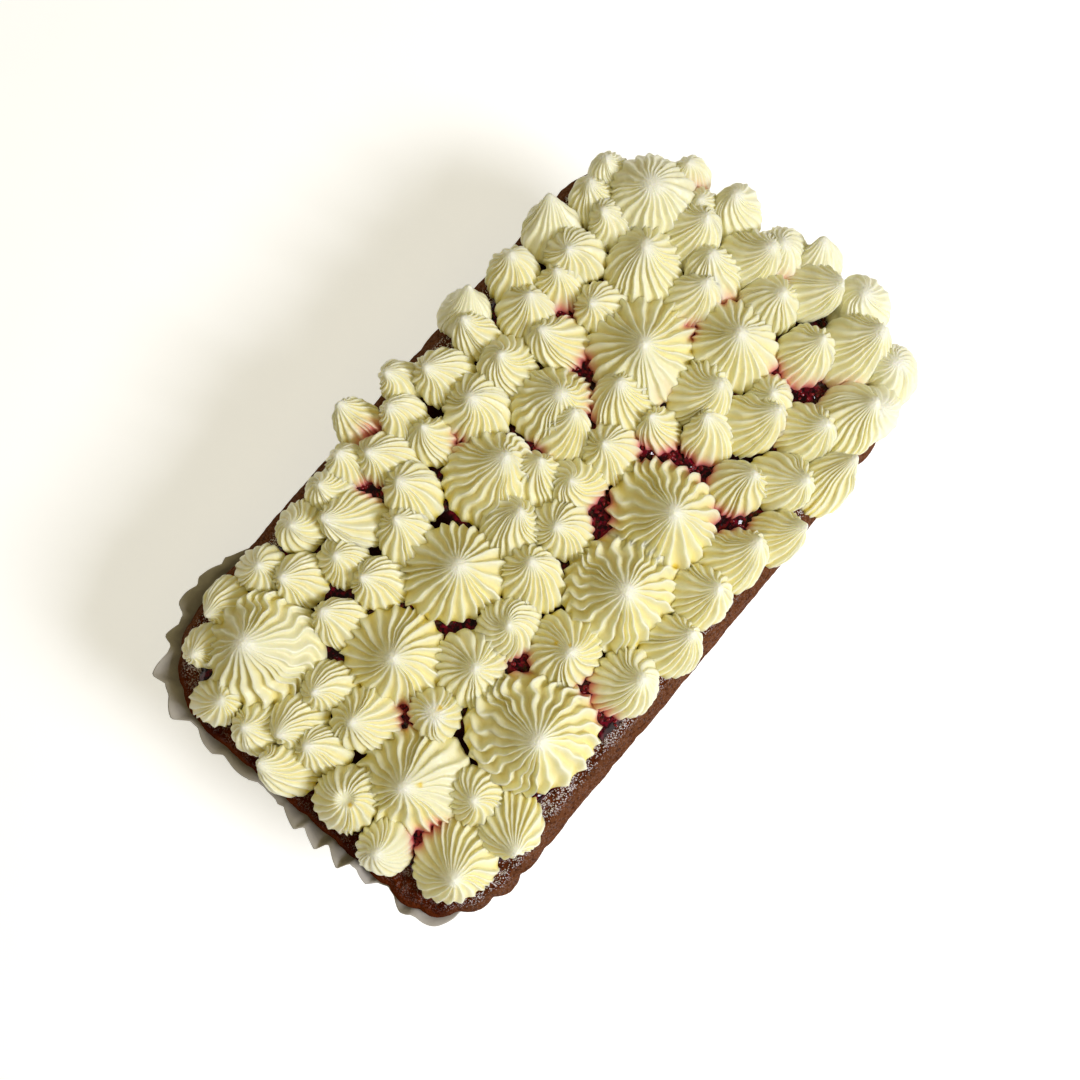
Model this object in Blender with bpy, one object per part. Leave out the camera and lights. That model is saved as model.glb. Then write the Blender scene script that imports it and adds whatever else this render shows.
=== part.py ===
"""Raspberry loaf cake, uncut, in its fluted paper case.

A chocolate loaf stands in a pleated greaseproof case. Its top is spread with raspberry jam and
covered with cream kisses piped through a many-toothed nozzle, each with its own width, height and
lean. Metres, +Z up, the case's flat base at z = 0, +X along the loaf, -Y the front.
"""
import math

import bmesh
import bpy
from mathutils import Vector
from mathutils.geometry import delaunay_2d_cdt

# ---------- the loaf, as baked in a 900 g tin ----------
LOAF_LENGTH = 0.230
LOAF_WIDTH = 0.1305
CORNER_RADIUS = 0.028
WALL_TAPER = math.radians(8.5)      # how far the tin's walls lean out
WALL_TOP = 0.049                    # where the straight wall ends
LOAF_TOP = 0.064                    # the middle of the top
DOME_ALONG = 0.0025                 # how much lower the top is at its ends
DOME_ACROSS = 0.0020                # and at its long edges
SHOULDER_DROP = 0.0045              # the rounded shoulder falls this much more
SHOULDER_WIDTH = 0.0065             # and lies outside the jam
SHOULDER_BULGE = 0.0014             # the crust swells over the case here
BULGE_HEIGHT = 0.054
TOP_BORDER = 0.0022                 # the top's fluted border lies this far inside the outline

# ---------- pleats of the case, which the cake's wall follows ----------
PLEATS = 60                         # 11.2 mm from one to the next
SIDE_PLEAT = 0.0005                 # half the depth along the long sides
CORNER_PLEAT = 0.0013               # half the depth at the corners and ends
PLEAT_REACH = 0.055                 # the deep pleats fade out this far from a corner
DEEP_END = 0.012                    # and are at their deepest this near to an end
TOP_PLEAT_SHARE = 0.7               # what is left of them on the shoulder

# ---------- paper case ----------
PAPER = 0.0006
PAPER_RIM = 0.0465                  # rim height along the long sides
PAPER_RISE = 0.008                  # how much higher the rim stands where it flares
PAPER_LEAVES = 0.036                # the flared paper parts from the cake here
FLARE_PLEAT = 0.13                  # extra pleat depth as a share of the flare
FLARE_FOLD = 0.16                   # and of the wider folds that run through it
FLARE_FULL = 0.006                  # the rim has risen fully where it leans out this far
FOLD_TURN = 0.9                     # radians of a fold's wave from one point to the next
# Two waves make the rim uneven: height, and radians from one point to the next.
RIM_WAVES = ((0.0008, 1.7), (0.0006, 0.61))

# Where the rim flares: place on the outline, reach along the rim, how far it leans out.
FLARES = (
    (-0.115, -0.012, 0.030, 0.0090),    # near end
    (-0.115, 0.030, 0.026, 0.0060),
    (-0.108, 0.058, 0.020, 0.0085),     # open near left corner
    (-0.084, 0.065, 0.018, 0.0080),
    (-0.113, -0.044, 0.014, 0.0035),    # near right corner
    (0.104, -0.060, 0.009, 0.0015),     # far corners
    (0.088, 0.065, 0.012, 0.0015),
)

# ---------- jam ----------
JAM_THICKNESS = 0.0015
JAM_INSET = 0.0085                  # from the loaf's edge to the jam's
JAM_WAVE = 0.0018                   # how uneven that edge is
JAM_EDGE_POINTS = 84
# Two waves shape its edge: share of JAM_WAVE, radians from point to point, start.
JAM_WAVES = ((0.625, 0.83, 0.0), (0.375, 2.1, 1.0))
JAM_EDGE_FALL = 0.0006              # the jam is thinner by this much at its edge

# ---------- fits ----------
GAP = 0.0003                        # between touching pieces
JAM_GAP = 0.00045                   # under the jam, whose facets differ from the crust's
GRID = 0.018                        # spacing of the points on the loaf's top
RING_CLEAR = 0.006                  # no grid point stands nearer to a ring than this

# ---------- cream kisses ----------
FUSED_KISSES = 44                   # the smallest ones inside the edge are one with the jam
FUSED_FROM_EDGE = 0.010
KISS_FROM_EDGE = 0.0035             # no kiss's foot stands nearer to the loaf's edge
SEAT_FALL = 0.5                     # share of the shoulder's fall that the feet follow
FUSED_SINK = 0.0007                 # how deep they stand in the jam
FUSED_OVERLAP = 0.0002              # and in each other
LARGE_KISS = 0.022                  # from this width on a kiss has more ridges
# Height as a share of width, from the smallest to the largest.
WIDTHS = (0.012, 0.018, 0.025, 0.040)
HEIGHT_SHARES = (0.78, 0.66, 0.54, 0.44)
SPREAD = 1.10                       # a foot spreads under its neighbours, past what shows
NEAR_ENOUGH = 2.0                   # radii within which two kisses share a wall
WALL_GAP = 0.55 * GAP               # from a kiss to the wall that it shares
MOST_LEAN = 1.15                    # share of the radius that a tip may lean
MOST_OVERHANG = 0.006               # how far a kiss at the edge may bulge over it
LEAN_CURVE = 1.3                    # the lean grows with the height to this power
FULL_HANG = 0.2                     # a kiss hangs over fully from this share of its height on
TWIST = math.radians(26)            # turn of the ridges from foot to tip

# Rings of a kiss: share of height, share of radius, depth of the grooves between ridges.
LARGE_RINGS = ((0.0, 0.93, 0.18), (0.22, 1.0, 0.20), (0.58, 0.62, 0.20))
SMALL_RINGS = ((0.0, 0.93, 0.15), (0.25, 1.0, 0.18), (0.68, 0.60, 0.16))
FUSED_RINGS = ((0.0, 0.94, 0.12), (0.38, 0.88, 0.16))
LARGE_RIDGES = 12
SMALL_RIDGES = 8
FUSED_RIDGES = 6

# ---------- how the photograph shows it (pixels of its 1080 px frame) ----------
PX = 0.001 / 3.27                   # one pixel straight below the camera, at the kisses' feet
CENTRE_PX = Vector((538.4, 522.9))  # the loaf's middle
NADIR_PX = Vector((530.0, 680.0))   # the point straight below the camera
RIGHT = Vector((0.643, -0.766))     # the picture's right, on the loaf
UP = Vector((0.766, 0.643))         # and its upward direction
CAMERA_ABOVE = 0.300                # camera above the kisses' feet
TILT = math.radians(2.8)            # and how far it looks away from straight down
FOCAL_PX = CAMERA_ABOVE / PX
AXIS_PX = NADIR_PX - Vector((0.0, FOCAL_PX * math.tan(TILT)))
SEEN_ABOVE = 0.005                  # a kiss's outline is widest this much above its foot

# Kisses as they were read off the photograph by eye: middle x, y, width, tip x, y.
KISSES_PX = (
    (530, 731, 130, 538, 741), (621, 590, 112, 626, 590), (662, 515, 110, 675, 512),
    (264, 650, 110, 242, 643), (643, 345, 108, 643, 343), (413, 780, 104, 403, 788),
    (452, 573, 97, 458, 565), (394, 656, 96, 392, 658), (485, 477, 88, 505, 455),
    (454, 861, 85, 453, 880), (737, 344, 86, 740, 332), (550, 403, 78, 560, 392),
    (646, 266, 76, 646, 245), (655, 193, 80, 652, 183), (564, 648, 74, 570, 652),
    (468, 667, 72, 475, 668), (850, 352, 72, 882, 329), (345, 800, 70, 345, 800),
    (367, 719, 66, 350, 722), (800, 288, 58, 848, 283), (478, 409, 66, 470, 397),
    (626, 404, 64, 619, 381), (846, 420, 64, 876, 401), (697, 392, 62, 721, 383),
    (532, 583, 62, 531, 560), (622, 685, 66, 642, 678), (508, 628, 60, 508, 624),
    (564, 527, 60, 556, 526), (508, 533, 60, 520, 510), (508, 818, 60, 515, 853),
    (752, 254, 66, 772, 245), (385, 847, 58, 375, 854), (510, 365, 58, 499, 354),
    (514, 276, 58, 511, 253), (578, 252, 58, 568, 248), (688, 235, 58, 707, 216),
    (615, 450, 58, 603, 443), (731, 562, 66, 760, 540), (474, 797, 56, 473, 800),
    (803, 357, 56, 824, 337), (747, 423, 60, 779, 408), (801, 430, 58, 827, 424),
    (776, 479, 58, 807, 479), (824, 487, 58, 860, 454), (771, 537, 58, 807, 525),
    (668, 649, 60, 692, 633), (362, 518, 56, 321, 518), (415, 494, 56, 398, 480),
    (392, 458, 56, 366, 452), (717, 278, 55, 712, 252), (302, 718, 54, 278, 735),
    (290, 773, 54, 258, 763), (405, 538, 54, 395, 518), (561, 437, 54, 575, 410),
    (534, 484, 54, 540, 458), (580, 482, 54, 570, 480), (525, 315, 56, 530, 293),
    (566, 342, 54, 540, 329), (697, 597, 60, 719, 587), (768, 303, 56, 784, 292),
    (258, 568, 52, 257, 566), (303, 578, 52, 280, 578), (209, 703, 52, 220, 700),
    (382, 583, 52, 361, 577), (605, 302, 52, 590, 302), (690, 301, 52, 707, 281),
    (735, 490, 54, 755, 473), (434, 714, 51, 434, 714), (343, 562, 50, 334, 555),
    (341, 624, 48, 321, 611), (256, 729, 50, 243, 727), (331, 685, 50, 313, 692),
    (300, 524, 50, 290, 525), (553, 232, 50, 549, 195), (828, 261, 50, 823, 246),
    (711, 441, 50, 707, 415), (897, 372, 54, 899, 360), (325, 752, 48, 305, 746),
    (358, 421, 48, 338, 402), (434, 441, 48, 422, 426), (562, 288, 48, 556, 269),
    (619, 219, 50, 602, 210), (330, 490, 46, 318, 484), (405, 418, 46, 388, 407),
    (205, 643, 45, 192, 655), (615, 171, 45, 606, 157), (595, 200, 45, 592, 183),
    (741, 211, 56, 736, 192), (787, 251, 54, 785, 240), (869, 303, 50, 866, 290),
    (881, 408, 44, 881, 405), (480, 337, 44, 463, 318), (350, 466, 44, 337, 453),
    (403, 379, 46, 385, 371), (446, 373, 58, 425, 367), (463, 311, 54, 468, 285),
    (774, 395, 44, 774, 392), (664, 430, 44, 650, 416), (224, 594, 44, 204, 617),
    (693, 174, 44, 690, 160), (706, 203, 42, 703, 196),
)


# ---------- small helpers ----------
def interpolate(x, xs, ys):
    """Straight lines between (xs, ys), held level past both ends."""
    if x <= xs[0]:
        return ys[0]
    for x0, x1, y0, y1 in zip(xs, xs[1:], ys, ys[1:]):
        if x <= x1:
            return y0 + (y1 - y0) * (x - x0) / (x1 - x0)
    return ys[-1]


def material(name, colour, roughness):
    made = bpy.data.materials.new(name)
    made.use_nodes = True
    shader = made.node_tree.nodes["Principled BSDF"]
    shader.inputs["Base Color"].default_value = (*colour, 1.0)
    shader.inputs["Roughness"].default_value = roughness
    shader.inputs["Metallic"].default_value = 0.0
    return made


def piece(name, points, faces, finish):
    """An object from points and faces, with its faces turned outwards."""
    mesh = bpy.data.meshes.new(name)
    mesh.from_pydata([tuple(p) for p in points], [], faces)
    shell = bmesh.new()
    shell.from_mesh(mesh)
    bmesh.ops.recalc_face_normals(shell, faces=shell.faces)
    bmesh.ops.triangulate(shell, faces=shell.faces)
    shell.to_mesh(mesh)
    shell.free()
    mesh.materials.append(finish)
    mesh.shade_smooth()
    mesh.set_sharp_from_angle(angle=math.radians(40))
    made = bpy.data.objects.new(name, mesh)
    bpy.context.scene.collection.objects.link(made)
    return made


def strip(lower, upper):
    """Quads between two closed rings of point numbers of the same length."""
    count = len(lower)
    return [
        (lower[i], lower[(i + 1) % count], upper[(i + 1) % count], upper[i]) for i in range(count)
    ]


def add_ring(points, ring):
    """Append a ring of points, and return their numbers."""
    start = len(points)
    points.extend(ring)
    return list(range(start, len(points)))


def fan(ring, hub):
    return [(ring[i], ring[(i + 1) % len(ring)], hub) for i in range(len(ring))]


# ---------- the loaf's outline and surfaces ----------
def outline(steps, length=LOAF_LENGTH, width=LOAF_WIDTH, radius=CORNER_RADIUS):
    """Points at even steps round a rounded rectangle, each with its outward direction."""
    half_x = length / 2 - radius
    half_y = width / 2 - radius
    quarter = radius * math.pi / 2
    # Each stretch: length, start point, start direction in degrees, whether it turns.
    stretches = (
        (half_y, (length / 2, 0.0), 0, False),
        (quarter, (half_x, half_y), 0, True),
        (2 * half_x, (half_x, width / 2), 90, False),
        (quarter, (-half_x, half_y), 90, True),
        (2 * half_y, (-length / 2, half_y), 180, False),
        (quarter, (-half_x, -half_y), 180, True),
        (2 * half_x, (-half_x, -width / 2), 270, False),
        (quarter, (half_x, -half_y), 270, True),
        (half_y, (length / 2, -half_y), 360, False),
    )
    whole = sum(stretch[0] for stretch in stretches)
    found = []
    for step in range(steps):
        left = (step + 0.5) * whole / steps
        for size, start, degrees, turns in stretches:
            if left <= size:
                break
            left -= size
        facing = math.radians(degrees)
        if turns:
            facing += left / radius
            out = Vector((math.cos(facing), math.sin(facing)))
            found.append((Vector(start) + out * radius, out))
        else:
            out = Vector((math.cos(facing), math.sin(facing)))
            ahead = Vector((-out.y, out.x))
            found.append((Vector(start) + ahead * left, out))
    return found


def inset(x, y):
    """How far a point lies inside the loaf's outline."""
    past_x = abs(x) - (LOAF_LENGTH / 2 - CORNER_RADIUS)
    past_y = abs(y) - (LOAF_WIDTH / 2 - CORNER_RADIUS)
    corner = math.hypot(max(past_x, 0.0), max(past_y, 0.0))
    return CORNER_RADIUS - corner - min(max(past_x, past_y), 0.0)


def dome(x, y):
    along = x / (LOAF_LENGTH / 2)
    across = y / (LOAF_WIDTH / 2)
    return LOAF_TOP - DOME_ALONG * along * along - DOME_ACROSS * across * across


def shoulder(x, y):
    """How far the rounded shoulder has fallen at a point."""
    near_edge = min(1.0, max(0.0, 1.0 - inset(x, y) / SHOULDER_WIDTH))
    return SHOULDER_DROP * near_edge * near_edge


def crust(x, y):
    return dome(x, y) - shoulder(x, y)


def jam_top(x, y):
    return crust(x, y) + JAM_GAP + JAM_THICKNESS


def seat(x, y):
    """Height of the kisses' feet: clear of the jam, and bridging the shoulder's curve."""
    return dome(x, y) - SEAT_FALL * shoulder(x, y) + JAM_GAP + JAM_THICKNESS + GAP


def corner_share(place):
    """1 at the corners and ends of the loaf, falling to 0 along its long sides."""
    from_end = LOAF_LENGTH / 2 - abs(place.x)
    return max(0.0, 1.0 - max(0.0, from_end - DEEP_END) / PLEAT_REACH)


def wall(steps):
    """The loaf's fluted outline: point, outward direction, and pleat depth with its sign."""
    found = []
    for number, (place, out) in enumerate(outline(steps)):
        share = corner_share(place)
        depth = SIDE_PLEAT + (CORNER_PLEAT - SIDE_PLEAT) * share
        found.append((place, out, depth if number % 2 else -depth))
    return found


def taper(height):
    return max(0.0, WALL_TOP - height) * math.tan(WALL_TAPER)


def top_points(depth_from_edge):
    """A staggered grid of places on the top, no nearer to its edge than a given depth."""
    found = []
    columns = int(LOAF_LENGTH / GRID)
    rows = int(LOAF_WIDTH / GRID)
    for row in range(-rows, rows + 1):
        for column in range(-columns, columns + 1):
            place = Vector((column + 0.5 * (row % 2), row * math.sqrt(0.75))) * GRID
            if inset(*place) > depth_from_edge:
                found.append(place)
    return found


def fill(border, inner):
    """Triangles between a closed border and the points inside it, numbered in that order."""
    places = [Vector(p[:2]) for p in border] + inner
    edges = [(i, (i + 1) % len(border)) for i in range(len(border))]
    result = delaunay_2d_cdt(places, edges, [], 1, 1e-9)
    assert len(result[0]) == len(places)
    order = [origin[0] for origin in result[3]]
    return [tuple(order[i] for i in face) for face in result[2]]


# ---------- cake ----------
def make_cake(finish):
    around = wall(2 * PLEATS)
    base = PAPER + GAP
    points = []
    rings = []
    levels = (
        (base, 0.0, 1.0),
        (WALL_TOP, 0.0, 1.0),
        (BULGE_HEIGHT, SHOULDER_BULGE, TOP_PLEAT_SHARE),
    )
    for height, swell, share in levels:
        ring = []
        for place, out, pleat in around:
            at = place + out * (swell + pleat * share - taper(height))
            ring.append((at.x, at.y, height))
        rings.append(add_ring(points, ring))
    border = []
    for place, out, pleat in around:
        at = place - out * (TOP_BORDER - TOP_PLEAT_SHARE * pleat / 2)
        border.append((at.x, at.y, crust(at.x, at.y)))
    rings.append(add_ring(points, border))
    faces = [face for lower, upper in zip(rings, rings[1:]) for face in strip(lower, upper)]

    shoulder_ring = [place - out * SHOULDER_WIDTH for place, out in outline(PLEATS)]
    inner = shoulder_ring + top_points(SHOULDER_WIDTH + RING_CLEAR)
    start = rings[-1][0]
    faces += [tuple(start + i for i in face) for face in fill(border, inner)]
    points.extend((p.x, p.y, crust(p.x, p.y)) for p in inner)

    points.append((0.0, 0.0, base))
    faces += fan(rings[0], len(points) - 1)
    return piece("cake", points, faces, finish)


# ---------- paper case ----------
def flare(place):
    """How far the case's rim leans out from the cake at a place on the outline."""
    most = 0.0
    for x, y, reach, out in FLARES:
        away = (place - Vector((x, y))).length / reach
        most = max(most, out * math.exp(-away * away))
    return most


def make_case(finish):
    """A pleated tray: its wall hugs the cake and flares at the rim."""
    around = wall(2 * PLEATS)
    outer = [[], [], []]
    inner = [[], [], []]
    for number, (place, out, pleat) in enumerate(around):
        lean = flare(place)
        wobble = sum(height * math.sin(turn * number) for height, turn in RIM_WAVES)
        rim = PAPER_RIM + PAPER_RISE * min(1.0, lean / FLARE_FULL) + wobble
        spread = lean * (1.0 + math.copysign(FLARE_PLEAT, pleat))
        spread += lean * FLARE_FOLD * math.sin(FOLD_TURN * number)
        for skin, thickness, foot in ((inner, GAP, PAPER), (outer, GAP + PAPER, 0.0)):
            levels = ((foot, 0.0), (PAPER_LEAVES, 0.0), (rim, spread))
            for ring, (height, extra) in zip(skin, levels):
                at = place + out * (thickness + pleat - taper(height) + extra)
                ring.append((at.x, at.y, height))
    points = []
    outside = [add_ring(points, ring) for ring in outer]
    inside = [add_ring(points, ring) for ring in inner]
    path = outside + inside[::-1]
    faces = [face for lower, upper in zip(path, path[1:]) for face in strip(lower, upper)]
    points.append((0.0, 0.0, 0.0))
    faces += fan(outside[0], len(points) - 1)
    points.append((0.0, 0.0, PAPER))
    faces += fan(inside[0], len(points) - 1)
    return piece("paper_case", points, faces, finish)


# ---------- kisses ----------
def on_cake(x, y, above):
    """The place on the loaf of a point that the photograph shows at x, y, above the feet."""
    below = (NADIR_PX - CENTRE_PX) * PX
    camera = RIGHT * below.x - UP * below.y
    right = (x - AXIS_PX.x) / FOCAL_PX
    up = (AXIS_PX.y - y) / FOCAL_PX
    ray = RIGHT * right + UP * (up * math.cos(TILT) + math.sin(TILT))
    ray /= math.cos(TILT) - up * math.sin(TILT)
    place = Vector((0.0, 0.0))
    for _ in range(4):
        place = camera + ray * (CAMERA_ABOVE - above + LOAF_TOP - dome(*place))
    return place


def pulled_in(place, distance):
    """A place moved inwards until it is that far inside the loaf's outline."""
    step = 0.0005
    for _ in range(12):
        short = distance - inset(*place)
        if short <= 0.0:
            break
        slope = Vector((
            inset(place.x + step, place.y) - inset(place.x - step, place.y),
            inset(place.x, place.y + step) - inset(place.x, place.y - step),
        ))
        place = place + slope.normalized() * short
    return place


def at_most(offset, length):
    return offset * min(1.0, length / max(offset.length, length))


class Kiss:
    """One piped kiss: where it stands, how wide and high it is, and how it leans and overhangs."""

    def __init__(self, x, y, width, tip_x, tip_y):
        shrink = 1.0 - SEEN_ABOVE / CAMERA_ABOVE
        self.width = width * PX * shrink * SPREAD
        self.radius = self.width / 2
        self.height = self.width * interpolate(self.width, WIDTHS, HEIGHT_SHARES)
        seen = on_cake(x, y, SEEN_ABOVE)
        self.place = pulled_in(seen, KISS_FROM_EDGE)
        self.hang = at_most(seen - self.place, MOST_OVERHANG)
        self.lean = at_most(on_cake(tip_x, tip_y, self.height) - self.place, MOST_LEAN * self.radius)
        self.fused = False
        self.walls = []


def choose_fused(kisses):
    """The smallest kisses that stand well inside the edge are made one with the jam."""
    inside = [k for k in kisses if inset(*k.place) > FUSED_FROM_EDGE]
    for kiss in sorted(inside, key=lambda k: k.width)[:FUSED_KISSES]:
        kiss.fused = True


def share_out(kisses):
    """Upright walls between neighbours, nearer to the smaller one, so that none overlap."""
    for kiss in kisses:
        for other in kisses:
            between = other.place - kiss.place
            far = between.length
            if other is kiss or far > NEAR_ENOUGH * (kiss.radius + other.radius):
                continue
            reach = far * kiss.radius / (kiss.radius + other.radius)
            joined = kiss.fused and other.fused
            reach += FUSED_OVERLAP if joined else -WALL_GAP
            kiss.walls.append((between / far, reach))


def within_walls(kiss, offset):
    """An offset from a kiss's middle, shortened until it is inside all of its walls."""
    share = 1.0
    for toward, reach in kiss.walls:
        out = offset.dot(toward)
        if out > reach:
            share = min(share, reach / out)
    return offset * share


def kiss_mesh(kiss, rings, ridges, foot):
    """Ridged rings from the foot up to a leaning tip. foot(x, y) gives the height below."""
    count = 2 * ridges
    points = []
    numbers = []
    middle = foot(*kiss.place)
    for up, wide, groove in rings:
        ring = []
        for step in range(count):
            turn = 2 * math.pi * step / count + TWIST * up
            radius = kiss.radius * wide * (1.0 - groove * (step % 2))
            offset = Vector((math.cos(turn), math.sin(turn))) * radius
            offset += kiss.lean * up ** LEAN_CURVE + kiss.hang * min(1.0, up / FULL_HANG)
            at = kiss.place + within_walls(kiss, offset)
            ground = foot(at.x, at.y) * (1.0 - up) + middle * up
            ring.append((at.x, at.y, ground + kiss.height * up))
        numbers.append(add_ring(points, ring))
    faces = [face for lower, upper in zip(numbers, numbers[1:]) for face in strip(lower, upper)]
    tip = kiss.place + within_walls(kiss, kiss.lean)
    points.append((tip.x, tip.y, middle + kiss.height))
    faces += fan(numbers[-1], len(points) - 1)
    points.append((kiss.place.x, kiss.place.y, middle))
    faces += fan(numbers[0], len(points) - 1)
    return points, faces


def make_kiss(kiss, name, finish):
    large = kiss.width > LARGE_KISS
    rings = LARGE_RINGS if large else SMALL_RINGS
    ridges = LARGE_RIDGES if large else SMALL_RIDGES
    return piece(name, *kiss_mesh(kiss, rings, ridges, seat), finish)


# ---------- jam, with the smallest kisses standing in it ----------
def jam_edge():
    found = []
    for number, (place, out) in enumerate(outline(JAM_EDGE_POINTS)):
        wave = sum(share * math.sin(turn * number + start) for share, turn, start in JAM_WAVES)
        found.append(place - out * (JAM_INSET + JAM_WAVE * wave))
    return found


def make_jam_sheet(finish):
    edge = jam_edge()
    inner = top_points(JAM_INSET + JAM_WAVE + RING_CLEAR)
    faces = fill(edge, inner)
    places = edge + inner
    count = len(places)
    top = [
        (p.x, p.y, jam_top(p.x, p.y) - (JAM_EDGE_FALL if i < len(edge) else 0.0))
        for i, p in enumerate(places)
    ]
    bottom = [(p.x, p.y, crust(p.x, p.y) + JAM_GAP) for p in places]
    below = [tuple(count + i for i in reversed(face)) for face in faces]
    rim = strip(range(len(edge)), range(count, count + len(edge)))
    return piece("raspberry_jam", top + bottom, faces + below + rim, finish)


def sunk_in_jam(x, y):
    return jam_top(x, y) - FUSED_SINK


def make_jam(kisses, finish, cream):
    sheet = make_jam_sheet(finish)
    small = bpy.data.collections.new("fused_kisses")
    bpy.context.scene.collection.children.link(small)
    for number, kiss in enumerate(kisses):
        shape = kiss_mesh(kiss, FUSED_RINGS, FUSED_RIDGES, sunk_in_jam)
        made = piece(f"fused_{number:02d}", *shape, cream)
        bpy.context.scene.collection.objects.unlink(made)
        small.objects.link(made)
    union = sheet.modifiers.new("kisses", "BOOLEAN")
    union.operation = "UNION"
    union.operand_type = "COLLECTION"
    union.collection = small
    union.solver = "EXACT"
    evaluated = sheet.evaluated_get(bpy.context.evaluated_depsgraph_get())
    joined = bpy.data.meshes.new_from_object(evaluated)
    sheet.modifiers.remove(union)
    sheet.data = joined
    for made in list(small.objects):
        bpy.data.objects.remove(made)
    bpy.data.collections.remove(small)
    return sheet


# ---------- the whole ----------
def centre_on_origin(objects):
    """Move every piece so that the whole's box has its middle on the Z axis."""
    corners = [vertex.co for made in objects for vertex in made.data.vertices]
    middle_x = (min(c.x for c in corners) + max(c.x for c in corners)) / 2
    middle_y = (min(c.y for c in corners) + max(c.y for c in corners)) / 2
    for made in objects:
        for vertex in made.data.vertices:
            vertex.co.x -= middle_x
            vertex.co.y -= middle_y


def build():
    for old in list(bpy.data.objects):
        bpy.data.objects.remove(old)
    sponge = material("chocolate_sponge", (0.085, 0.030, 0.014), 0.75)
    paper = material("greaseproof_paper", (0.62, 0.60, 0.53), 0.65)
    jam = material("raspberry_jam", (0.20, 0.004, 0.012), 0.20)
    cream = material("piped_cream", (0.86, 0.80, 0.52), 0.45)

    kisses = [Kiss(*numbers) for numbers in KISSES_PX]
    choose_fused(kisses)
    share_out(kisses)
    made = [make_cake(sponge), make_case(paper)]
    made.append(make_jam([k for k in kisses if k.fused], jam, cream))
    for number, kiss in enumerate(k for k in kisses if not k.fused):
        made.append(make_kiss(kiss, f"kiss_{number + 1:02d}", cream))
    centre_on_origin(made)


build()
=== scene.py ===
import math
import random

import bpy
import numpy as np
from mathutils import Matrix, Vector
from mathutils.bvhtree import BVHTree
from mathutils.geometry import delaunay_2d_cdt


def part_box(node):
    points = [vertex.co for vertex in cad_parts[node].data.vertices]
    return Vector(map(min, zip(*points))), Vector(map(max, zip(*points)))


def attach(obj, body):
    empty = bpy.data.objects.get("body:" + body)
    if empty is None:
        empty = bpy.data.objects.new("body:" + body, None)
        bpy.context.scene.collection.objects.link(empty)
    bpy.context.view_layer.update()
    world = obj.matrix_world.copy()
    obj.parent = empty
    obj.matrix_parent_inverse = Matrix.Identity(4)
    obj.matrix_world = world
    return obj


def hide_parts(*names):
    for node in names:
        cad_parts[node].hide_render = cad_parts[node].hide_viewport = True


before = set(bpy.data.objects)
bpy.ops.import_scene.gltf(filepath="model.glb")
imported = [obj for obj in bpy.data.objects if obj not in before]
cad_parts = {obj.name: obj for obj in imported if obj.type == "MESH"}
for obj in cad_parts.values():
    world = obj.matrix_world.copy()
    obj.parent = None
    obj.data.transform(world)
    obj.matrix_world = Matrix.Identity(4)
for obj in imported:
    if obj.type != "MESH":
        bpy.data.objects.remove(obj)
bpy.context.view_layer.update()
print("nodes in the frame:", len(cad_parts))

# %% [markdown]
# ## Maths on sockets
#
# Both Geometry Nodes and materials do their sums with Math nodes. Wiring dozens of them by hand is
# hard to read, so one small class wraps a socket, and Python's own operators add the nodes. Another
# class holds a node tree, and its `node` method adds any other kind of node. `ShapeGraph` and
# `Finish` are its two kinds: a tree that makes a shape, and a material.

# %% A socket that can be calculated with
class Value:
    """A number on a socket. Python's operators on it add Math nodes."""

    def __init__(self, graph, socket):
        self.graph = graph
        self.socket = socket


def operator_pair(operation):
    """The method for value + other, and the reflected one for other + value."""
    def forward(self, other):
        return self.graph.maths(operation, self, other)

    def reflected(self, other):
        return self.graph.maths(operation, other, self)

    return forward, reflected


OPERATORS = {"add": "ADD", "sub": "SUBTRACT", "mul": "MULTIPLY", "truediv": "DIVIDE", "pow": "POWER"}
for word, operation in OPERATORS.items():
    forward, reflected = operator_pair(operation)
    setattr(Value, f"__{word}__", forward)
    setattr(Value, f"__r{word}__", reflected)


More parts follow.
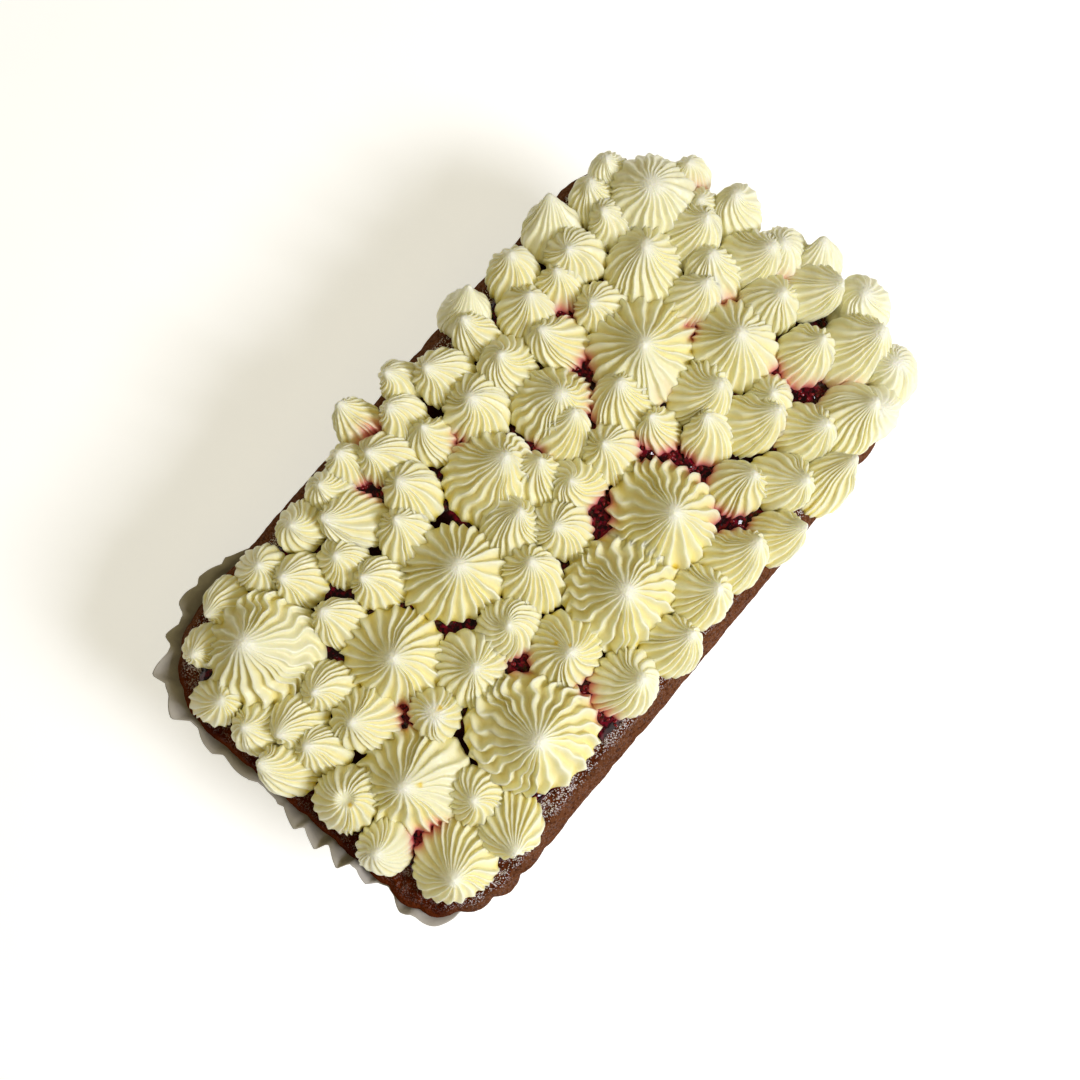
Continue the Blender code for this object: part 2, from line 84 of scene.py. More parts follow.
# %% A node tree that is written as Python
class Graph:
    """A node tree: node() adds a node, maths() a Math node, and inputs are called by name."""

    def __init__(self, tree):
        self.tree = tree

    def feed(self, socket, value):
        """Link a socket to a value, or set it."""
        if isinstance(value, Value):
            value = value.socket
        if isinstance(value, bpy.types.NodeSocket):
            self.tree.links.new(value, socket)
        else:
            socket.default_value = value

    def node(self, kind, settings=None, sockets=None):
        """Add a node, choose its settings, then fill its sockets with values or links."""
        made = self.tree.nodes.new(kind)
        for name, value in (settings or {}).items():
            setattr(made, name, value)
        for name, value in (sockets or {}).items():
            self.feed(made.inputs[name], value)
        return made

    def maths(self, operation, *values):
        made = self.node("ShaderNodeMath", {"operation": operation}, dict(enumerate(values)))
        return Value(self, made.outputs[0])

    def sine(self, value):
        return self.maths("SINE", value)

    def cosine(self, value):
        return self.maths("COSINE", value)

    def at_least(self, least, value):
        return self.maths("MAXIMUM", value, least)

    def smooth_step(self, value, low, high, to_low=0.0, to_high=1.0):
        """A number that goes smoothly from to_low to to_high as value goes from low to high."""
        sockets = {"Value": value, "From Min": low, "From Max": high, "To Min": to_low, "To Max": to_high}
        made = self.node("ShaderNodeMapRange", {"interpolation_type": "SMOOTHSTEP"}, sockets)
        return Value(self, made.outputs["Result"])

    def vector(self, x, y, z):
        return self.node("ShaderNodeCombineXYZ", sockets={"X": x, "Y": y, "Z": z}).outputs[0]

    def scaled(self, vector, amount):
        sockets = {0: vector, "Scale": amount}
        return self.node("ShaderNodeVectorMath", {"operation": "SCALE"}, sockets).outputs[0]

    def parts(self, vector):
        made = self.node("ShaderNodeSeparateXYZ", sockets={0: vector})
        return [Value(self, socket) for socket in made.outputs]

    def noise(self, vector, scale, detail=2.0, roughness=0.5):
        """Blender's noise texture: its number and its colour."""
        sockets = {"Vector": vector, "Scale": scale, "Detail": detail, "Roughness": roughness}
        made = self.node("ShaderNodeTexNoise", sockets=sockets)
        return Value(self, made.outputs[0]), made.outputs[1]


class ShapeGraph(Graph):
    """A Geometry Nodes tree. Its inputs are named sizes."""

    def __init__(self, name, sizes):
        super().__init__(bpy.data.node_groups.new(name, "GeometryNodeTree"))
        face = self.tree.interface
        face.new_socket("Geometry", in_out="INPUT", socket_type="NodeSocketGeometry")
        face.new_socket("Geometry", in_out="OUTPUT", socket_type="NodeSocketGeometry")
        for label, value in sizes.items():
            kind = "NodeSocketInt" if isinstance(value, int) else "NodeSocketFloat"
            socket = face.new_socket(label, in_out="INPUT", socket_type=kind)
            socket.default_value = value
        self.inputs = self.node("NodeGroupInput").outputs
        self.geometry = self.inputs["Geometry"]

    def size(self, label):
        return Value(self, self.inputs[label])

    def attribute(self, name, kind="FLOAT"):
        made = self.node("GeometryNodeInputNamedAttribute", {"data_type": kind}, {"Name": name})
        return Value(self, made.outputs["Attribute"])

    def position(self):
        return self.node("GeometryNodeInputPosition").outputs[0]

    def through(self, kind, settings=None, sockets=None):
        """Pass the shape through a node."""
        sockets = {"Geometry": self.geometry, **(sockets or {})}
        self.geometry = self.node(kind, settings, sockets).outputs[0]

    def store(self, name, value):
        """Keep a number on every point of the shape, under a name."""
        settings = {"data_type": "FLOAT", "domain": "POINT"}
        self.through("GeometryNodeStoreNamedAttribute", settings, {"Name": name, "Value": value})

    def move(self, offset):
        self.through("GeometryNodeSetPosition", sockets={"Offset": offset})

    def scatter(self, points, shape, **sockets):
        """A copy of a shape on each point."""
        sockets = {"Points": points, "Instance": shape, **sockets}
        self.geometry = self.node("GeometryNodeInstanceOnPoints", sockets=sockets).outputs[0]

    def end(self, finish):
        """Close the tree: real geometry, in its material."""
        self.through("GeometryNodeRealizeInstances")
        self.through("GeometryNodeSetMaterial", sockets={"Material": finish.material})
        self.node("NodeGroupOutput", sockets={"Geometry": self.geometry})
        return self.tree


class Finish(Graph):
    """A material. What fill() is given goes onto the sockets of its shader."""

    def __init__(self, name, constants):
        self.material = bpy.data.materials.new(name)
        self.material.use_nodes = True
        super().__init__(self.material.node_tree)
        self.fill(constants)
        self.place = self.node("ShaderNodeTexCoord").outputs["Object"]

    def fill(self, sockets):
        shader = self.tree.nodes["Principled BSDF"]
        for name, value in sockets.items():
            self.feed(shader.inputs[name], value)

    def number(self, name):
        """A number that was kept on the mesh's points."""
        made = self.node("ShaderNodeAttribute", {"attribute_name": name})
        return Value(self, made.outputs["Fac"])

    def blend(self, share, first, second):
        """A colour that goes from the first to the second."""
        ends = [(*colour, 1.0) if isinstance(colour, tuple) else colour for colour in (first, second)]
        sockets = {0: share, 6: ends[0], 7: ends[1]}
        return self.node("ShaderNodeMix", {"data_type": "RGBA"}, sockets).outputs[2]

    def relief(self, height, depth):
        """Fine relief, depth metres high."""
        sockets = {"Height": height, "Distance": depth, "Strength": 1.0}
        self.fill({"Normal": self.node("ShaderNodeBump", sockets=sockets).outputs[0]})


print("operators on sockets:", ", ".join(OPERATORS))

# %% [markdown]
# ## From a tree to a plain mesh
#
# A Geometry Nodes modifier is live: its result isn't in the mesh. Each finished piece here is plain
# mesh, which any program can read. So the modifier's inputs are set by their identifiers, the
# evaluated result is copied into a new mesh, and the modifier is taken away.

# %% Helpers for pieces
def add_object(name, mesh):
    made = bpy.data.objects.new(name, mesh)
    bpy.context.scene.collection.objects.link(made)
    return made


def mesh_object(name, points, faces, finish=None):
    """A smooth-shaded piece from points and faces."""
    mesh = bpy.data.meshes.new(name)
    mesh.from_pydata([tuple(point) for point in points], [], faces)
    mesh.update()
    mesh.shade_smooth()
    if finish:
        mesh.materials.append(finish.material)
    return add_object(name, mesh)


def keep_numbers(mesh, name, values, kind="FLOAT"):
    """An attribute of the mesh's points."""
    attribute = mesh.attributes.new(name, kind, "POINT")
    key = "vector" if kind == "FLOAT_VECTOR" else "value"
    attribute.data.foreach_set(key, np.asarray(values, dtype=np.float32).ravel())


def grown(carrier, tree, **sizes):
    """Run a tree on an object with these sizes, and leave its result as plain mesh."""
    modifier = carrier.modifiers.new("grow", "NODES")
    modifier.node_group = tree
    for item in tree.interface.items_tree:
        label = item.name.lower().replace(" ", "_")
        if item.in_out == "INPUT" and label in sizes:
            modifier[item.identifier] = sizes.pop(label)
    assert not sizes, f"no input named {list(sizes)}"
    evaluated = carrier.evaluated_get(bpy.context.evaluated_depsgraph_get())
    mesh = bpy.data.meshes.new_from_object(evaluated)
    carrier.modifiers.remove(modifier)
    old = carrier.data
    carrier.data = mesh
    bpy.data.meshes.remove(old)
    mesh.name = carrier.name
    mesh.shade_smooth()
    return carrier


def triangles(piece):
    """How many triangles a piece has."""
    return sum(len(face.vertices) - 2 for face in piece.data.polygons)


PIECES = []


def hand_over(piece, slot, *nodes):
    """The piece rides on the cake, and stands for these nodes of the frame. The slot is not used."""
    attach(piece, "root")
    if nodes:
        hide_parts(*nodes)
    PIECES.append(piece)
    print(f"{piece.name}: {triangles(piece)} triangles")


# %% [markdown]
# ## The camera
#
# The picture was taken from almost straight above, close by: the kisses at the edges show their
# outer flanks. A camera 30 cm over the cream, a little towards the loaf's near end, throws the
# tips outwards in the same way. It is tilted by a few degrees only, because the loaf's long edges
# stay parallel in the picture, and the lens is shifted for the rest of the framing.

# %% Camera
SENSOR = 36.0
FRAME_PX = 1080
FOCAL_PX = 981.0                            # focal length in pixels of the square frame
TILT = math.radians(2.8)
NADIR_PX = Vector((530.0, 680.0))           # the point straight below the camera
CENTRE_PX = Vector((538.4, 522.9))          # the middle of the loaf's top
RIGHT = Vector((0.643, -0.766, 0.0)).normalized()   # the picture's right, across the table
UP = Vector((-RIGHT.y, RIGHT.x, 0.0))               # and its upward direction
MM = 0.001

cake_low, cake_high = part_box("cake")
MIDDLE = Vector(((cake_low.x + cake_high.x) / 2, (cake_low.y + cake_high.y) / 2, 0.0))
PX = MM / 3.27                              # one pixel at the kisses' feet
LIFT = 2.1 * MM                             # the jam under a kiss, and the gaps round it
FEET = cake_high.z + LIFT                   # height of the kisses' feet in the middle
CAMERA_ABOVE = 0.300
SKY = Vector((0.0, 0.0, 1.0))

below = (NADIR_PX - CENTRE_PX) * PX
eye = MIDDLE + RIGHT * below.x - UP * below.y + SKY * (FEET + CAMERA_ABOVE)
back = SKY * math.cos(TILT) - UP * math.sin(TILT)
lens = bpy.data.cameras.new("camera")
lens.sensor_width = SENSOR
lens.lens = FOCAL_PX / FRAME_PX * SENSOR
axis_px = NADIR_PX - Vector((0.0, FOCAL_PX * math.tan(TILT)))
lens.shift_x = (FRAME_PX / 2 - axis_px.x) / FRAME_PX
lens.shift_y = (axis_px.y - FRAME_PX / 2) / FRAME_PX
lens.clip_start = 0.01
camera = add_object("camera", lens)
pose = Matrix((RIGHT, back.cross(RIGHT), back)).transposed()
camera.matrix_world = Matrix.Translation(eye) @ pose.to_4x4()
bpy.context.scene.camera = camera
print(f"camera {eye.z * 1000:.0f} mm up, shift {lens.shift_x:.3f}, {lens.shift_y:.3f}")

# %% [markdown]
# ## Light and floor
#
# Daylight falls in from the right, so the flanks on the left lie in soft shade, and the paper in
# the left corner is the darkest. One area light stands for the window. A wider, dimmer one for the
# ceiling and a warm world fill the shade. The floor is plain and pale, so that nothing draws the
# eye from the cake.

# %% Light and floor
FLOOR_SIZE = 3.0
FLOOR_AT = -0.2 * MM                        # just clear of the paper
LIGHTS_AWAY = 1.1
KEY_FROM = RIGHT * 0.75 - UP * 0.36 + SKY * 0.74
KEY_SIZE = 0.34
KEY_POWER = 9.7
KEY_COLOUR = (0.98, 1.0, 1.10)
TOP_SIZE = 1.2
TOP_POWER = 3.8
TOP_COLOUR = (1.0, 0.86, 0.42)
WORLD_COLOUR = (1.0, 0.92, 0.72, 1.0)
WORLD_STRENGTH = 0.13
WHITE = (1.0, 1.0, 1.0, 1.0)


def area_light(name, direction, size, power, colour):
    light = bpy.data.lights.new(name, "AREA")
    light.shape = "SQUARE"
    light.size = size
    light.energy = power
    light.color = colour
    made = add_object(name, light)
    made.location = SKY * FEET + direction.normalized() * LIGHTS_AWAY
    made.rotation_euler = direction.to_track_quat("Z", "Y").to_euler()
    return made


area_light("window", KEY_FROM, KEY_SIZE, KEY_POWER, KEY_COLOUR)
ceiling = area_light("ceiling", SKY, TOP_SIZE, TOP_POWER, TOP_COLOUR)
ceiling.visible_glossy = False              # so only the window glints in the jam
world = bpy.data.worlds.new("room")
bpy.context.scene.world = world
world.use_nodes = True
room = world.node_tree.nodes["Background"]
room.inputs["Color"].default_value = WORLD_COLOUR
room.inputs["Strength"].default_value = WORLD_STRENGTH
bpy.context.scene.view_settings.view_transform = "Standard"
bpy.context.scene.view_settings.look = "None"

floor_finish = Finish("pale_floor", {"Roughness": 0.8, "Emission Color": WHITE, "Emission Strength": 0.45})
grain, _ = floor_finish.noise(floor_finish.place, 40.0)
floor_finish.fill({"Base Color": floor_finish.blend(grain, (0.90, 0.90, 0.89), (0.93, 0.93, 0.92))})
half = FLOOR_SIZE / 2
corners = [(x, y, FLOOR_AT) for x, y in ((-half, -half), (half, -half), (half, half), (-half, half))]
floor = mesh_object("floor", corners, [(0, 1, 2, 3)], floor_finish)
print("light from", [round(x, 2) for x in KEY_FROM.normalized()])

# %% [markdown]
# ## Where each kiss stands
#
# About a hundred kisses cover the top, no two alike. Their middles, widths and tips were read off
# the picture. A camera so close throws a high tip outwards, so a tip's place is worked back
# to its real height first. What is left of its offset is the kiss's true lean.

# %% Kisses as they were read off the picture: middle x, y, width, tip x, y
KISSES_PX = (
    (530, 731, 130, 538, 741), (621, 590, 112, 626, 590), (662, 515, 110, 675, 512),
    (264, 650, 110, 242, 643), (643, 345, 108, 643, 343), (413, 780, 104, 403, 788),
    (452, 573, 97, 458, 565), (394, 656, 96, 392, 658), (485, 477, 88, 505, 455),
    (454, 861, 85, 453, 880), (737, 344, 86, 740, 332), (550, 403, 78, 560, 392),
    (646, 266, 76, 646, 245), (655, 193, 80, 652, 183), (564, 648, 74, 570, 652),
    (468, 667, 72, 475, 668), (850, 352, 72, 882, 329), (345, 800, 70, 345, 800),
    (367, 719, 66, 350, 722), (800, 288, 58, 848, 283), (478, 409, 66, 470, 397),
    (626, 404, 64, 619, 381), (846, 420, 64, 876, 401), (697, 392, 62, 721, 383),
    (532, 583, 62, 531, 560), (622, 685, 66, 642, 678), (508, 628, 60, 508, 624),
    (564, 527, 60, 556, 526), (508, 533, 60, 520, 510), (508, 818, 60, 515, 853),
    (752, 254, 66, 772, 245), (385, 847, 58, 375, 854), (510, 365, 58, 499, 354),
    (514, 276, 58, 511, 253), (578, 252, 58, 568, 248), (688, 235, 58, 707, 216),
    (615, 450, 58, 603, 443), (731, 562, 66, 760, 540), (474, 797, 56, 473, 800),
    (803, 357, 56, 824, 337), (747, 423, 60, 779, 408), (801, 430, 58, 827, 424),
    (776, 479, 58, 807, 479), (824, 487, 58, 860, 454), (771, 537, 58, 807, 525),
    (668, 649, 60, 692, 633), (362, 518, 56, 321, 518), (415, 494, 56, 398, 480),
    (392, 458, 56, 366, 452), (717, 278, 55, 712, 252), (302, 718, 54, 278, 735),
    (290, 773, 54, 258, 763), (405, 538, 54, 395, 518), (561, 437, 54, 575, 410),
    (534, 484, 54, 540, 458), (580, 482, 54, 570, 480), (525, 315, 56, 530, 293),
    (566, 342, 54, 540, 329), (697, 597, 60, 719, 587), (768, 303, 56, 784, 292),
    (258, 568, 52, 257, 566), (303, 578, 52, 280, 578), (209, 703, 52, 220, 700),
    (382, 583, 52, 361, 577), (605, 302, 52, 590, 302), (690, 301, 52, 707, 281),
    (735, 490, 54, 755, 473), (434, 714, 51, 434, 714), (343, 562, 50, 334, 555),
    (341, 624, 48, 321, 611), (256, 729, 50, 243, 727), (331, 685, 50, 313, 692),
    (300, 524, 50, 290, 525), (553, 232, 50, 549, 195), (828, 261, 50, 823, 246),
    (711, 441, 50, 707, 415), (897, 372, 54, 899, 360), (325, 752, 48, 305, 746),
    (358, 421, 48, 338, 402), (434, 441, 48, 422, 426), (562, 288, 48, 556, 269),
    (619, 219, 50, 602, 210), (330, 490, 46, 318, 484), (405, 418, 46, 388, 407),
    (205, 643, 45, 192, 655), (615, 171, 45, 606, 157), (595, 200, 45, 592, 183),
    (741, 211, 56, 736, 192), (787, 251, 54, 785, 240), (869, 303, 50, 866, 290),
    (881, 408, 44, 881, 405), (480, 337, 44, 463, 318), (350, 466, 44, 337, 453),
    (403, 379, 46, 385, 371), (446, 373, 58, 425, 367), (463, 311, 54, 468, 285),
    (774, 395, 44, 774, 392), (664, 430, 44, 650, 416), (224, 594, 44, 204, 617),
    (693, 174, 44, 690, 160), (706, 203, 42, 703, 196),
)

# %% Places, sizes and leans
LOAF_LENGTH = 230.0 * MM
LOAF_WIDTH = 130.5 * MM
CORNER_RADIUS = 28.0 * MM
DOME_ALONG = 2.5 * MM                       # how far the top falls to its ends
DOME_ACROSS = 2.0 * MM                      # and to its sides
KISS_FROM_EDGE = 3.5 * MM
SEEN_ABOVE = 5.0 * MM                       # an outline is widest this much above the foot
WIDTHS = (0.012, 0.018, 0.025, 0.040)
HEIGHT_SHARES = (0.78, 0.66, 0.54, 0.44)
SPREAD = 1.10                               # feet spread under their neighbours
MOST_LEAN = 1.15
CALM_SIDE = -1.4                            # the ridges crinkle least towards this turn
MOST_OVERHANG = 6.0 * MM
BIG = (19.0 * MM, 33.0 * MM)                # widths between which kisses turn from fine to bold
FAR = (60.0 * MM, 100.0 * MM)               # places along the loaf between which they turn soft
CROWDED = 0.6                               # a kiss this share of its width from the loaf's edge
CROWDED_RADIUS = 0.94                       # spreads less
FUSED_KISSES = 44                           # the frame's jam holds this many small kisses
FUSED_FROM_EDGE = 10.0 * MM
TWO_PI = 2.0 * math.pi


def inset(x, y):
    """How far a point lies inside the loaf's outline."""
    past_x = abs(x) - (LOAF_LENGTH / 2 - CORNER_RADIUS)
    past_y = abs(y) - (LOAF_WIDTH / 2 - CORNER_RADIUS)
    corner = math.hypot(max(past_x, 0.0), max(past_y, 0.0))
    return CORNER_RADIUS - corner - min(max(past_x, past_y), 0.0)


def fall(x, y):
    """How far the domed top has fallen at a point, from its height in the middle."""
    along = x / (LOAF_LENGTH / 2)
    across = y / (LOAF_WIDTH / 2)
    return DOME_ALONG * along * along + DOME_ACROSS * across * across


def from_picture(x, y, above):
    """The place on the loaf of a point seen at pixel x, y, above the kisses' feet."""
    along = (x - axis_px.x) / FOCAL_PX
    across = (axis_px.y - y) / FOCAL_PX
    ray = RIGHT * along + back.cross(RIGHT) * across - back
    place = Vector((0.0, 0.0))
    for _ in range(4):                      # the top is nearly flat, so this settles at once
        drop = CAMERA_ABOVE - above + fall(*place)
        place = (eye - MIDDLE - ray * (drop / ray.z)).xy
    return place


def pulled_in(place, distance):
    """A place moved inwards until it is that far inside the loaf's outline."""
    step = 0.5 * MM
    for _ in range(12):
        short = distance - inset(*place)
        if short <= 0.0:
            break
        slope = Vector((
            inset(place.x + step, place.y) - inset(place.x - step, place.y),
            inset(place.x, place.y + step) - inset(place.x, place.y - step),
        ))
        place = place + slope.normalized() * short
    return place


def at_most(offset, length):
    return offset * min(1.0, length / max(offset.length, length))


class Kiss:
    """One piped kiss: where it stands, its size, its lean, and how its ridges run.

    Its traits are the piping tree's: angles in radians, lengths in metres, and shares of its size.
    """

    def __init__(self, number, x, y, width, tip_x, tip_y):
        chance = random.Random(number)
        odd = dict(ODD_KISSES.get((x, y), {}))
        self.width = width * PX * (1.0 - SEEN_ABOVE / CAMERA_ABOVE) * SPREAD
        self.height = self.width * float(np.interp(self.width, WIDTHS, HEIGHT_SHARES)) * odd.pop("tall", 1.0)
        seen = from_picture(x, y, SEEN_ABOVE)
        self.place = pulled_in(seen, KISS_FROM_EDGE)
        self.hang = at_most(seen - self.place, MOST_OVERHANG)
        self.lean = at_most(from_picture(tip_x, tip_y, self.height) - self.place, MOST_LEAN * self.width / 2)
        big = float(np.interp(self.width, BIG, (0.0, 1.0)))
        far = float(np.interp(self.place.x, FAR, (0.0, 1.0)))
        crowded = inset(*self.place) < CROWDED * self.width
        self.radius = self.width / 2 * (CROWDED_RADIUS if crowded else 1.0) * odd.pop("grown", 1.0)
        self.twist = math.radians(chance.choice((-1, 1, 1)) * chance.uniform(14, 60) * (1.0 - 0.7 * big))
        self.wave = 0.06 + 0.37 * big * chance.uniform(0.7, 1.2)
        self.pulses = chance.uniform(0.8, 1.4) + 0.7 * big
        self.peak = chance.uniform(0.24, 0.34) + 0.20 * big - 0.06 * far
        self.core = chance.uniform(0.20, 0.28) + 0.10 * big
        self.waist = chance.uniform(0.18, 0.24) - 0.08 * big + 0.06 * far
        self.nub = (chance.uniform(0.8, 1.2) + 0.5 * big) * MM
        self.soft = 0.25 * far
        self.worn = self.worn_at = self.hollow = self.hook = 0.0
        self.calm_at = CALM_SIDE + chance.uniform(-0.6, 0.6)
        self.thin = chance.uniform(0.75, 1.35) * (1.0 - big) + 1.40 * big
        self.blade = chance.uniform(0.05, 0.30) + 0.20 * big
        self.seed = chance.uniform(0.0, TWO_PI)
        self.node = None
        for trait, value in odd.items():
            assert hasattr(self, trait), trait
            setattr(self, trait, value)


# %% What sets single kisses apart: crinkles, blurred sides, bent or hollow tips
ODD_KISSES = {
    (530, 731): {"wave": 0.50, "pulses": 2.8, "twist": 0.25, "grown": 0.94},
    (621, 590): {"wave": 0.50, "pulses": 2.6, "twist": 0.10},
    (662, 515): {"wave": 0.38, "pulses": 2.4, "twist": 0.15},
    (264, 650): {"wave": 0.55, "pulses": 2.4, "calm_at": 2.6, "worn": 0.40, "worn_at": -0.8, "tall": 1.10},
    (643, 345): {"wave": 0.20, "pulses": 1.6, "worn": 0.45, "worn_at": -2.2, "blade": 0.25},
    (413, 780): {"wave": 0.30, "pulses": 1.8, "worn": 0.55, "worn_at": -1.0},
    (452, 573): {"wave": 0.20, "pulses": 1.6, "twist": 0.10},
    (394, 656): {"wave": 0.12, "pulses": 1.2, "blade": 0.80},
    (485, 477): {"wave": 0.50, "pulses": 2.2, "twist": 0.30, "calm_at": 1.6},
    (454, 861): {"wave": 0.06, "pulses": 1.0, "thin": 1.7, "blade": 0.40, "twist": 0.40, "soft": 0.10},
    (737, 344): {"wave": 0.12, "pulses": 1.2, "twist": 0.20},
    (550, 403): {"wave": 0.35, "pulses": 2.0, "twist": -0.35},
    (655, 193): {"soft": 0.40, "peak": 0.22, "grown": 1.12, "waist": 0.30},
    (646, 266): {"soft": 0.20, "twist": -0.30},
    (224, 594): {"tall": 0.70},
    (205, 643): {"tall": 0.70},
    (434, 714): {"peak": 0.10, "nub": 2.6 * MM},
    (508, 628): {"thin": 0.65, "blade": 0.0},
    (468, 667): {"thin": 0.65, "blade": 0.0},
    (385, 847): {"thin": 0.65, "blade": 0.0, "worn": 0.6, "worn_at": -0.9},
    (345, 800): {"hollow": 1.0, "peak": 0.18, "core": 0.40},
    (463, 311): {"soft": 0.70, "peak": 0.55, "core": 0.35},
    (553, 232): {"soft": 0.40, "peak": 0.45, "core": 0.35, "grown": 1.15},
    (706, 203): {"hook": 0.35},
    (828, 261): {"hook": 0.35, "soft": 0.5},
    (595, 200): {"hook": 0.30, "grown": 1.05},
    (615, 171): {"soft": 0.5, "grown": 1.05, "tall": 0.85},
    (869, 303): {"soft": 0.60, "peak": 0.10, "blade": 0.0, "grown": 1.2},
    (897, 372): {"soft": 0.50, "peak": 0.08, "blade": 0.0, "grown": 1.1},
    (881, 408): {"soft": 0.60, "peak": 0.05, "blade": 0.0, "grown": 1.25},
    (741, 211): {"soft": 0.40},
    (787, 251): {"soft": 0.40, "grown": 1.1},
    (803, 357): {"twist": 0.30},
    (824, 487): {"grown": 0.88},
    (771, 537): {"grown": 0.90},
    (622, 685): {"thin": 0.60, "blade": 0.0, "wave": 0.15, "worn": 0.5, "worn_at": -1.2},
}
KISSES = [Kiss(number, *numbers) for number, numbers in enumerate(KISSES_PX)]
inside = [kiss for kiss in KISSES if inset(*kiss.place) > FUSED_FROM_EDGE]
fused = sorted(inside, key=lambda kiss: kiss.width)[:FUSED_KISSES]
apart = [kiss for kiss in KISSES if kiss not in fused]
for number, kiss in enumerate(apart, 1):
    kiss.node = f"kiss_{number:02d}"
    low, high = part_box(kiss.node)
    spot = MIDDLE.xy + kiss.place
    assert low.x < spot.x < high.x and low.y < spot.y < high.y, kiss.node
print("kisses:", len(KISSES), "of which", len(apart), "are nodes of the frame")

# %% [markdown]
# ## Cream
#
# Whipped butter cream is pale yellow and a little see-through, so light wanders under its surface.
# Its grooves and its low feet, where kisses crowd, are painted a deeper yellow as painted glow and
# shade, and its tips are painted almost white. Jam tints the feet that touch it. The grooves, tips
# and tints are numbers kept on the mesh, which the material turns into colour.

# %% Cream
BUTTER = (0.880, 0.872, 0.655)
# painted glow and shade: the deeper yellow of the grooves and of the crowded feet
PAINTED_SHADE_BUTTER = (0.850, 0.700, 0.110)
TIP_WHITE = (0.890, 0.885, 0.760)
PINK = (0.750, 0.250, 0.230)
BLEEDING = (0.300, 0.004, 0.012)
FLECK = (0.830, 0.620, 0.070)
LIGHT_WANDERS = 0.0022                      # how far light goes under the cream's surface
BUBBLE_DEPTH = 0.00016

cream = Finish("piped_cream", {
    "Roughness": 0.36, "Subsurface Weight": 0.55, "Subsurface Radius": (1.0, 0.92, 0.60),
    "Subsurface Scale": LIGHT_WANDERS,
})
mottle, _ = cream.noise(cream.place, 160.0, 3.0)
# painted shade and glow: the low feet, where the kisses crowd, and the grooves turn a deeper yellow
foot = cream.smooth_step(cream.number("up"), 0.0, 0.5, 0.55, 0.0)
groove = cream.number("groove") ** 2.0 * (foot + 0.45) + foot * 0.30 + mottle * 0.15
tip = cream.smooth_step(cream.number("up"), 0.86, 1.0)
tint = cream.number("tint")
colour = cream.blend(groove, BUTTER, PAINTED_SHADE_BUTTER)
colour = cream.blend(tip * 0.8, colour, TIP_WHITE)
colour = cream.blend(cream.smooth_step(tint, 0.05, 0.6), colour, PINK)
colour = cream.blend(cream.smooth_step(tint, 0.45, 0.9), colour, BLEEDING)
cream.fill({"Base Color": cream.blend(cream.number("fleck"), colour, FLECK)})
bubbles, _ = cream.noise(cream.place, 1400.0, 2.0, 0.6)
cream.relief(bubbles * (0.7 + tip * 1.5), BUBBLE_DEPTH)
print("cream ready")

# %% [markdown]
# ## The kisses
#
# A kiss is squeezed through a star nozzle with many fine teeth, held still, and pulled away. So it
# is a mound with ridges that run from its foot to a soft tip. Larger ones swell in little pulses,
# which crinkle their ridges. A sculptor could model each one, but all follow one rule, so a
# Geometry Nodes tree bends a tube into every kiss. The tube has eight points to a ridge, and the
# tree turns them along with the ridge, so that each crest stays on one clean line of the mesh.

# %% The tree that pipes kisses
PER_RIDGE = 8
UNDER = 0.12                                # share of the tube's rings that tuck under the foot
CAP_POWER = 8.0                             # how late the tip closes: more is flatter
DENT_WIDTH = 0.17                           # of a hollow tip, as a share of the radius
DENT_DEPTH = 0.22                           # and of the height
LEAN_POWER = 1.35                           # how the lean grows with the height
MOST_DROP = 4.5 * MM                        # how far a foot may hang down past the crust's edge
RAY_FROM = 0.2                              # rays to the crust start at this height
WOBBLES = ((150.0, 1.1 * MM), (620.0, 0.42 * MM))   # scale and size of the slow wobble and the lumps
TRAITS = ("twist", "wave", "pulses", "peak", "core", "waist", "nub", "soft", "worn", "worn_at",
          "calm_at", "thin", "blade", "hollow", "hook", "seed")


